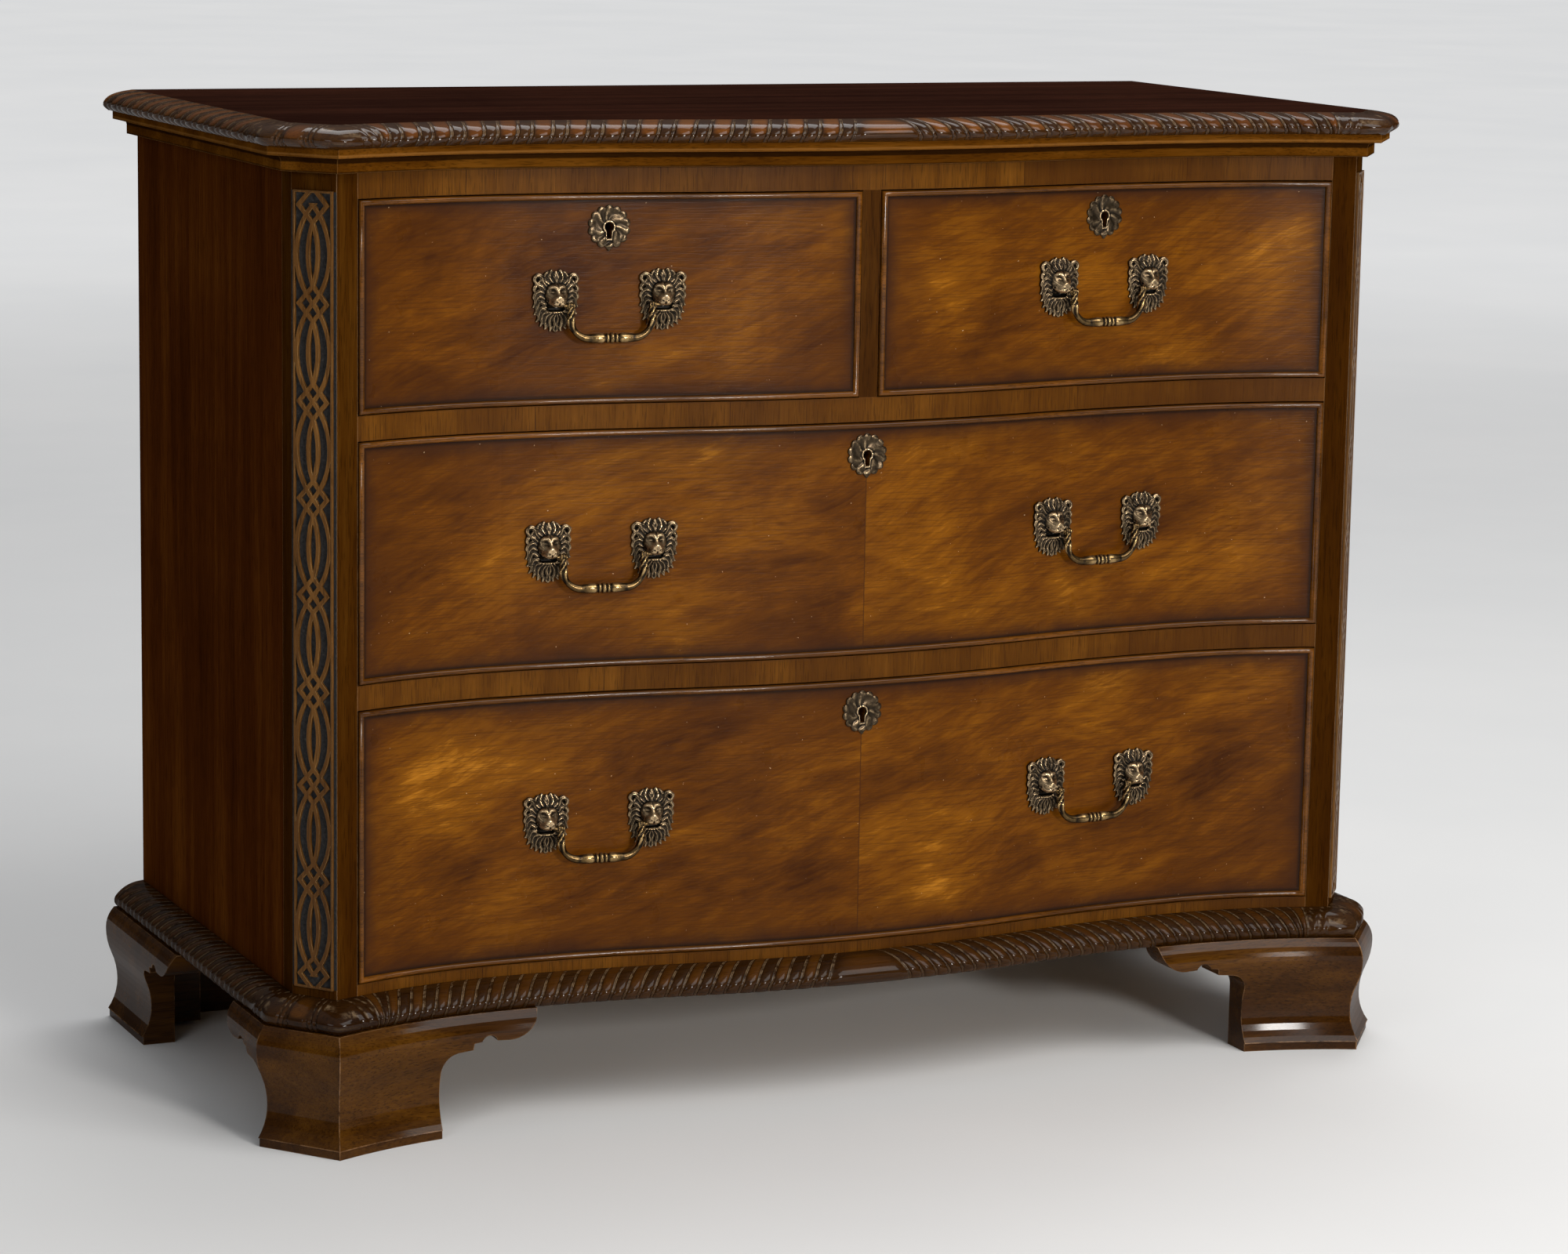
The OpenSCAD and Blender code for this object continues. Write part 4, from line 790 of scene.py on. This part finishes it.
# Hills of half the face: height, place across and up, half width and height, and steepness. The
# soft ones fade out with the face.
SOFT_HILLS = [
    (2.4, 4.6, 16.8, 4.6, 1.7, 1),  # brow
    (1.0, 1.9, 14.8, 1.6, 1.3, 1),  # inner end of the brow
    (-1.1, 4.7, 13.3, 2.2, 1.1, 1),  # hollow of the eye
]
HILLS = [
    (0.7, 4.7, 12.7, 1.3, 0.7, 1),  # eyeball
    (-0.5, 5.0, 11.2, 2.4, 0.6, 1),  # fold under the eye
    (2.8, 0, 10.5, 2.1, 7.0, 1),  # ridge of the nose
    (-0.9, 0, 18, 0.9, 2.2, 1),  # furrow of the forehead
    (1.5, 7.0, 8.4, 2.6, 3.0, 1),  # cheek
    (1.6, 3.0, 8.4, 2.4, 4.0, 1),  # side of the muzzle
    (6.0, 0, 2.2, 7.7, 7.2, 1.9),  # muzzle
    (2.0, 0, 5.4, 4.0, 1.7, 1),  # tip of the nose
    (-1.5, 2.4, 3.9, 0.9, 0.7, 1),  # nostril
    (1.7, 4.2, 1.4, 3.2, 1.7, 1),  # upper lip
    (-1.4, 0, 1.2, 0.6, 1.9, 1),  # cleft of the lip
    (-7.5, 0, -3.1, 6.6, 1.7, 1.6),  # open mouth
    (3.0, 0, -5.8, 4.8, 0.9, 1),  # lower lip
]
CORE_Y, FACE_Y, FACE_R = 4.5, 9.5, 11.0


def lock_height(x, y):
    """Height of the highest lock over a point, and nothing between the locks."""
    side = np.abs(x)
    best = np.zeros_like(x)
    for points, wide, root, tip in LOCKS:
        curve, places = spline(points, LOCK_POINTS)
        for p, q, share in zip(curve[:-1], curve[1:], places):
            way = q - p
            along = np.clip(((side - p[0]) * way[0] + (y - p[1]) * way[1]) / (way @ way), 0, 1)
            far = np.hypot(side - p[0] - along * way[0], y - p[1] - along * way[1])
            half = wide * (1 - 0.72 * share ** 2.2)
            rise = np.sqrt(np.clip(1 - (far / half) ** 2, 0, 1))
            strand = 0.3 * np.cos(2.6 * math.pi * far / half) * (rise > 0)
            high = (root + (tip - root) * share) * (0.3 + 0.7 * rise) + strand
            best = np.maximum(best, np.where(far < half, high, 0))
    return best


def hills(side, y, table):
    return sum(high * np.exp(-((((side - cx) / rx) ** 2 + ((y - cy) / ry) ** 2) ** steep))
               for high, cx, cy, rx, ry, steep in table)


def lion_height(x, y):
    """Height of the mask's relief; its pins lie at the height 0 and the head above them."""
    side = np.abs(x)
    core = np.sqrt(np.clip(1 - (x / 16.5) ** 2 - ((y - CORE_Y) / 22.0) ** 2, 0, 1))
    height = np.maximum(0.9 + 1.6 * core, lock_height(x, y))
    face = np.clip(1 - (x / FACE_R) ** 2 - ((y - FACE_Y) / FACE_R) ** 2, 0, 1) ** 0.5
    height = np.where(face > 0, np.maximum(height * (1 - face), 4.2 + 4.6 * face), height)
    height += np.clip(face * 3, 0, 1) * hills(side, y, SOFT_HILLS) + hills(side, y, HILLS)
    # Beside the muzzle the relief stays under the knuckles of the bail
    cap = 6.2 + 8 * np.clip((8.3 - side) / 0.6, 0, 2) + 8 * np.clip((y - 5.0) / 1.2, 0, 2)
    return np.clip(np.minimum(height, cap), 0.8, 15.2)


def relief_of(height, x, y, reach, scale):
    """How far a point stands above its surroundings, as 0..1."""
    around = sum(height(x + reach * math.cos(a), y + reach * math.sin(a))
                 for a in np.arange(6) * math.pi / 3) / 6
    return np.clip(0.5 + (height(x, y) - around) / scale, 0, 1)


def with_back(relief):
    """The relief of a disc's points, with none on its back."""
    return np.concatenate([relief.ravel(), np.zeros(2 * relief.shape[1])])


def polar_disc(outer, inner, height, rings, rays):
    """A disc between two outlines in rows from the middle outwards, with walls and a flat back."""
    angle = np.arange(rays) * 2 * math.pi / rays
    share = np.linspace(0, 1, rings)[:, None]
    radius = inner(angle)[None] * (1 - share) + outer(angle)[None] * share
    x, y = radius * np.cos(angle), radius * np.sin(angle)
    top = np.stack([x, y, height(x, y)], -1).reshape(-1, 3)
    flat = np.stack([x[[-1, 0]], y[[-1, 0]], np.zeros((2, rays))], -1).reshape(-1, 3)
    points = np.concatenate([top, flat])
    return points, grid_faces(rings + 2, rays, closed_rows=True), x, y


def mask_outline(angle):
    """How far the core or a lock reaches at each angle."""
    far = np.linspace(8, 33, 126)
    x, y = np.cos(angle)[:, None] * far, np.sin(angle)[:, None] * far
    inside = (lock_height(x, y) > 0.5) | ((x / 15.8) ** 2 + ((y - CORE_Y) / 21.5) ** 2 < 1)
    reach = np.where(inside, far, 0).max(1)
    return 0.5 * reach + 0.25 * (np.roll(reach, 1) + np.roll(reach, -1))


MASK_RINGS, MASK_RAYS, MASK_EYE = 56, 180, 0.05
mask_points, mask_faces, mask_x, mask_y = polar_disc(
    mask_outline, lambda a: np.full_like(a, MASK_EYE), lion_height, MASK_RINGS, MASK_RAYS)
fine_relief = relief_of(lion_height, mask_x, mask_y, 0.9, 1.6)
broad_relief = relief_of(lion_height, mask_x, mask_y, 2.4, 4.0)
face_share = 1 - (mask_x / 10.5) ** 2 - ((mask_y - FACE_Y) / FACE_R) ** 2
mask_relief = with_back(
    0.55 * fine_relief + 0.45 * broad_relief + 0.17 * np.clip(1.8 * face_share, 0, 1))


# Key plates: petals and scrolls round a keyhole
PETALS, PLATE_RINGS, PLATE_RAYS = 7, 22, 168
PLATE_R, PETAL_L, HOLE_R, SLOT_HALF, SLOT_DOWN = 17, 2.6, 3.6, 2.2, 10


def keyhole(angle):
    down = np.clip(-np.sin(angle), 1e-3, None)
    side = np.clip(np.abs(np.cos(angle)), 1e-3, None)
    slot = np.where(np.sin(angle) < 0, np.minimum(SLOT_DOWN / down, SLOT_HALF / side), 0)
    return np.maximum(HOLE_R, slot)


def petal(angle):
    return np.abs(np.cos(PETALS * (angle - math.pi / 2)))


def plate_outline(angle):
    point = 4.6 * np.exp(-((angle - 1.5 * math.pi) / 0.13) ** 2)
    return np.maximum(PLATE_R + PETAL_L * petal(angle) ** 0.7, PLATE_R - 0.4 + point)


def plate_height(x, y):
    radius, angle = np.hypot(x, y), np.arctan2(y, x)
    inner = keyhole(angle)
    rim = np.exp(-((radius - inner - 1.3) / 0.9) ** 2)
    share = np.clip((radius - inner) / (PLATE_R + 1 - inner), 0, 1)
    scroll = np.sin(PETALS * angle + 5 * share + 1.2 * np.sin(3 * angle))
    petals = petal(angle) * np.clip((radius - PLATE_R + 4) / 4, 0, 1)
    edge = np.clip(radius - PLATE_R, 0, 3) / 3
    return (1.15 + 0.9 * rim + 0.45 * scroll * np.sin(math.pi * share)
            + 0.5 * petals - 0.5 * edge)


plate_points, plate_faces, plate_x, plate_y = polar_disc(
    plate_outline, keyhole, plate_height, PLATE_RINGS, PLATE_RAYS)
plate_relief = with_back(relief_of(plate_height, plate_x, plate_y, 0.8, 0.6) + 0.04)


# Bails: a bar with rings in the middle, bent up to leafy knuckles that turn on pins
def tube(path, radii, sides=18, leafy=0.0):
    """A closed tube round a path in the plane of the bail; leafy is how deep its lobes are."""
    path = np.array(path, float)
    radii, leafy = (np.broadcast_to(values, len(path)) for values in (radii, leafy))
    way = np.gradient(path, axis=0)
    way /= np.linalg.norm(way, axis=1)[:, None]
    angle = np.arange(sides) * 2 * math.pi / sides
    points, relief = [], []
    for i, (p, w, r, deep) in enumerate(zip(path, way, radii, leafy)):
        lobes = 1 + deep * np.cos(4 * angle + i * 0.5)
        side = np.array([-w[1], w[0]])
        ring = r * lobes
        points += [(p[0] + side[0] * c, s, p[1] + side[1] * c)
                   for c, s in zip(ring * np.cos(angle), ring * np.sin(angle))]
        relief += list(0.5 + (lobes - 1) * 2.2 + (r - radii[max(0, i - 2):i + 3].mean()) * 0.5)
    faces = grid_faces(len(path), sides)
    faces += [list(range(sides))[::-1], [(len(path) - 1) * sides + j for j in range(sides)]]
    return np.array(points), faces, relief


def joined(parts):
    """Meshes given as (points, faces, relief), in one mesh."""
    points, faces, relief = [], [], []
    for more_points, more_faces, more_relief in parts:
        start = sum(map(len, points))
        faces += [[i + start for i in face] for face in more_faces]
        points.append(more_points)
        relief += list(more_relief)
    return np.concatenate(points), faces, relief


BAIL_DROP, BEND_R, KNUCKLE_W, KNUCKLE_GAP, PIN_L, PIN_R = 29.0, 17.0, 6.0, 0.4, 4.0, 1.5
# Radius of the bar at distances from its middle: three rings, a neck and a thinning swelling
BAR = [(0, 5.0), (1.0, 5.0), (1.5, 4.4), (1.8, 3.3), (2.7, 3.2), (3.0, 4.2), (3.7, 4.6),
       (4.7, 4.6), (5.3, 4.2), (5.6, 3.4), (6.6, 3.9), (8.5, 4.7), (12, 4.7), (17, 4.2), (24, 3.2)]
BAR_X, BAR_R = zip(*BAR)
NECK_R, LEAF_R, LOBES = 2.6, 2.4, 0.2
BEND_STEPS, RISE_STEPS, DRUM_STEPS, CURL_STEPS, CURL_SIDES = 14, 22, 11, 34, 10
# Scrolls of an arm: place beside it, height and radius
CURLS = ((1.0, 0.0, 2.9), (0.7, -8.6, 2.7))


def bail_shape(half_chord):
    """A hanging bail round the middle between its pivots, half_chord from each of them."""
    arm = half_chord - MUZZLE_R - KNUCKLE_GAP - KNUCKLE_W / 2
    bar_x = np.array([d for d in BAR_X if d < arm - BEND_R - 1] + [arm - BEND_R])
    bar_r = np.interp(bar_x, BAR_X, BAR_R)
    bend = np.radians(np.linspace(0, 90, BEND_STEPS))[1:]
    rise = np.linspace(BEND_R - BAIL_DROP, -1, RISE_STEPS)[1:]
    half = [(x, -BAIL_DROP) for x in bar_x]
    half += [(arm - BEND_R + BEND_R * math.sin(a), BEND_R - BAIL_DROP - BEND_R * math.cos(a))
             for a in bend]
    half += [(arm, z) for z in rise]
    share, turned = np.linspace(0, 1, len(rise)), np.linspace(0, 1, len(bend))
    waves = np.abs(np.sin(share * 2.5 * math.pi + 0.6)) ** 0.7
    risen = LEAF_R + waves * (1 - 0.4 * share)
    collar = 1.1 * np.clip(turned - 0.62, 0, 0.3) / 0.3
    bent = bar_r[-1] + (NECK_R - bar_r[-1]) * np.minimum(1, turned * 1.5) + collar
    radii = np.concatenate([bar_r, bent, risen])
    lobes = np.concatenate([np.zeros(len(bar_x)), LOBES * np.clip((turned - 0.55) / 0.2, 0, 1),
                            np.full(len(rise), LOBES)])
    path = [(-x, z) for x, z in half[:0:-1]] + half
    radii, lobes = (np.concatenate([values[:0:-1], values]) for values in (radii, lobes))
    parts = [tube(path, radii, leafy=lobes)]
    across = np.linspace(-KNUCKLE_W / 2, KNUCKLE_W / 2, DRUM_STEPS)
    beads = np.abs(np.sin(np.linspace(0.25, math.pi * 3 - 0.25, DRUM_STEPS)))
    turn = np.linspace(0.3, 2.7 * math.pi, CURL_STEPS)
    pin_x = np.linspace(arm + KNUCKLE_W / 2 - 0.5, half_chord - MUZZLE_R + PIN_L, 4)
    for sign in (-1, 1):
        drum = [(sign * (arm + x), 0) for x in across]
        parts.append(tube(drum, 2.2 + 0.8 * beads ** 0.6, leafy=0.05))
        for beside, z, wide in CURLS:
            coil = wide * (1 - 0.62 * (turn - turn[0]) / (turn[-1] - turn[0]))
            curl = [(sign * (arm + beside + c * math.cos(a)), z - c * math.sin(a))
                    for a, c in zip(turn, coil)]
            parts.append(tube(curl, np.linspace(1.25, 0.8, CURL_STEPS), CURL_SIDES))
        parts.append(tube([(sign * x, 0) for x in pin_x], PIN_R))
    return joined(parts)


def pivot(x):
    turn = front_turn(x)
    out = PIVOT_OUT * math.cos(turn)
    return np.array([x + PIVOT_OUT * math.sin(turn), float(front_y(x)) - out])


def add_handles(drawer):
    """The bails of a drawer and, in one piece, its lion masks."""
    heads = []
    for side, x in HANDLES[drawer]:
        places = x - MASK_PITCH / 2, x + MASK_PITCH / 2
        heads += [(on_front(place, HANDLE_Z[drawer], mask_points), mask_faces, mask_relief)
                  for place in places]
        low, high = map(pivot, places)
        length = np.linalg.norm(high - low)
        points, faces, relief = bail_shape(length / 2)
        (way_x, way_y), middle = (high - low) / length, (low + high) / 2
        across, out, up = points.T
        place = np.stack([middle[0] + across * way_x - out * way_y,
                          middle[1] + across * way_y + out * way_x, HANDLE_Z[drawer] + up], -1)
        bail = "_".join(filter(None, [drawer, side, "bail"]))
        make_piece("cast_" + bail, place, faces, bail_brass, bail, bail,
                   {"relief": relief})
    points, faces, relief = joined(heads)
    make_piece("lion_masks_" + drawer, points, faces, brass, drawer + "_drawer",
               drawer + "_masks", {"relief": relief})


# The cockbead's section (out of the front, inwards from its edge): flat, with a rounded nose
BEAD_R, BEAD_STEP = BEAD_W / 2, 10
NOSE = [(BEAD_OUT - BEAD_R + BEAD_R * math.cos(a), BEAD_R - BEAD_R * math.sin(a))
        for a in np.radians([-90, -65, -40, -20, 0, 20, 40, 65, 90])]
BEAD_SECTION = [(-BEAD_IN, 0.0), (-BEAD_IN, BEAD_W)]
BEAD_SECTION += [(out, max(0.0, min(BEAD_W, inwards))) for out, inwards in NOSE]


def add_bead(drawer):
    x0, x1, low, high = front_box(drawer)
    count = int((x1 - x0) / BEAD_STEP)
    shares = [i / count for i in range(count + 1)]
    rows = []
    for at_top in (False, True):
        for share in shares:
            share = 1 - share if at_top else share
            for out, inwards in BEAD_SECTION:
                x = x0 + inwards + (x1 - x0 - 2 * inwards) * share
                z = high - inwards if at_top else low + inwards
                rows.append((x, float(front_y(x, out)), z))
    faces = grid_faces(2 * len(shares), len(BEAD_SECTION), closed_rows=True)
    make_piece("bead_" + drawer, rows, faces, bead_wood, drawer + "_drawer",
               drawer + "_cockbead")


for drawer, (floor_z, high) in OPENINGS.items():
    add_handles(drawer)
    plate = on_front(LOCK_X[drawer], floor_z + high - KEY_DROP, plate_points)
    make_piece("key_plate_" + drawer, plate, plate_faces, brass, drawer + "_drawer",
               drawer + "_escutcheon", {"relief": plate_relief})
    add_bead(drawer)


# A pale floor. Far from the lamps it glows in its own colour, but lights nothing else.
FLOOR_HALF, FADE_FROM, FADE_TO, FAR_LIGHT = 60, 1.2, 9.0, 0.64
paint = Paint("floor")
floor_colour = paint.ramp(paint.spots(1.2, 4, 0.6), (0.3, (0.74, 0.745, 0.75)),
                          (0.7, (0.78, 0.78, 0.78)))
floor_material = paint.finish(floor_colour, 0.7, paint.spots(300, 2, 0.55), 0.0002, 0.1)
away = paint.node("VectorMath", paint.object_point(), operation="LENGTH", out=1)
rays = paint.node("LightPath").node.outputs
seen = paint.math("MAXIMUM", rays["Is Camera Ray"], rays["Is Glossy Ray"])
seen = paint.math("MAXIMUM", seen, rays["Is Transmission Ray"])
glow = paint.times(seen, paint.times(paint.rising(away, FADE_FROM, FADE_TO), FAR_LIGHT))
paint.fill(paint.surface, {"Emission Color": floor_colour, "Emission Strength": glow})
mesh = bpy.data.meshes.new("floor")
corners = ((-1, -1), (1, -1), (1, 1), (-1, 1))
mesh.from_pydata([(FLOOR_HALF * x, FLOOR_HALF * y, 0) for x, y in corners], [], [(0, 1, 2, 3)])
mesh.materials.append(floor_material)
linked("floor", mesh)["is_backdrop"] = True

# Soft lamps: place, aim, size, watts and colour
LAMPS = {
    "key": ((0.7, -4.9, 1.5), (0.1, 0, 0.45), (0.8, 0.5), 125, (1, 0.97, 0.93)),
    "high": ((1.6, -3.4, 4.2), (0.1, 0, 0.45), (4.0, 3.0), 165, (1, 0.98, 0.95)),
    "fill": ((-3.6, -3.2, 2.2), (0, 0, 0.45), (1.6, 1.6), 24, (0.97, 0.98, 1)),
    "top": ((1.2, 1.6, 4.2), (0.2, 0, 0.6), (3.0, 2.4), 80, (1, 1, 1)),
}
for name, (place, aim, size, watts, colour) in LAMPS.items():
    light = bpy.data.lights.new(name, "AREA")
    light.shape = "RECTANGLE"
    light.size, light.size_y = size
    light.energy = watts
    light.color = colour
    lamp = linked(name, light)
    lamp.location = place
    lamp.rotation_euler = (Vector(aim) - Vector(place)).to_track_quat("-Z", "Y").to_euler()

# The studio is dim along the horizon and lighter overhead: height of the direction and grey
SKY = ((0.15, 0.05), (0.9, 0.4))
sky = Paint("studio", world=True)
scene.world = sky.owner
greys = [(height, (grey * 0.97, grey * 0.985, grey)) for height, grey in SKY]
sky.fill(sky.surface, {"Color": sky.ramp(sky.apart(sky.node("TexCoord"))[2], *greys),
                       "Strength": 1.0})

# The camera stands where the photograph was taken from; its focal length is in photo pixels
FOCAL, PHOTO_W, SENSOR_W = 5783.2, 2000, 36
STAND, YAW, PITCH, ROLL = (-1.7463, -3.6701, 1.1557), 0.42636, 0.17545, -0.01712
forward = Vector((math.sin(YAW) * math.cos(PITCH), math.cos(YAW) * math.cos(PITCH),
                  -math.sin(PITCH)))
level = Vector((math.cos(YAW), -math.sin(YAW), 0))
down = forward.cross(level)
right = level * math.cos(ROLL) + down * math.sin(ROLL)
down = down * math.cos(ROLL) - level * math.sin(ROLL)
camera_data = bpy.data.cameras.new("camera")
camera_data.sensor_width = SENSOR_W
camera_data.lens = FOCAL * SENSOR_W / PHOTO_W
camera_data.clip_start, camera_data.clip_end = 0.05, 100
camera = linked("camera", camera_data)
camera.matrix_world = Matrix((
    (right.x, -down.x, -forward.x, STAND[0]),
    (right.y, -down.y, -forward.y, STAND[1] + Y_SHIFT / MM_PER_M),
    (right.z, -down.z, -forward.z, STAND[2]),
    (0, 0, 0, 1),
))
scene.camera = camera
scene.view_settings.view_transform = "Standard"

low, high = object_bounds()
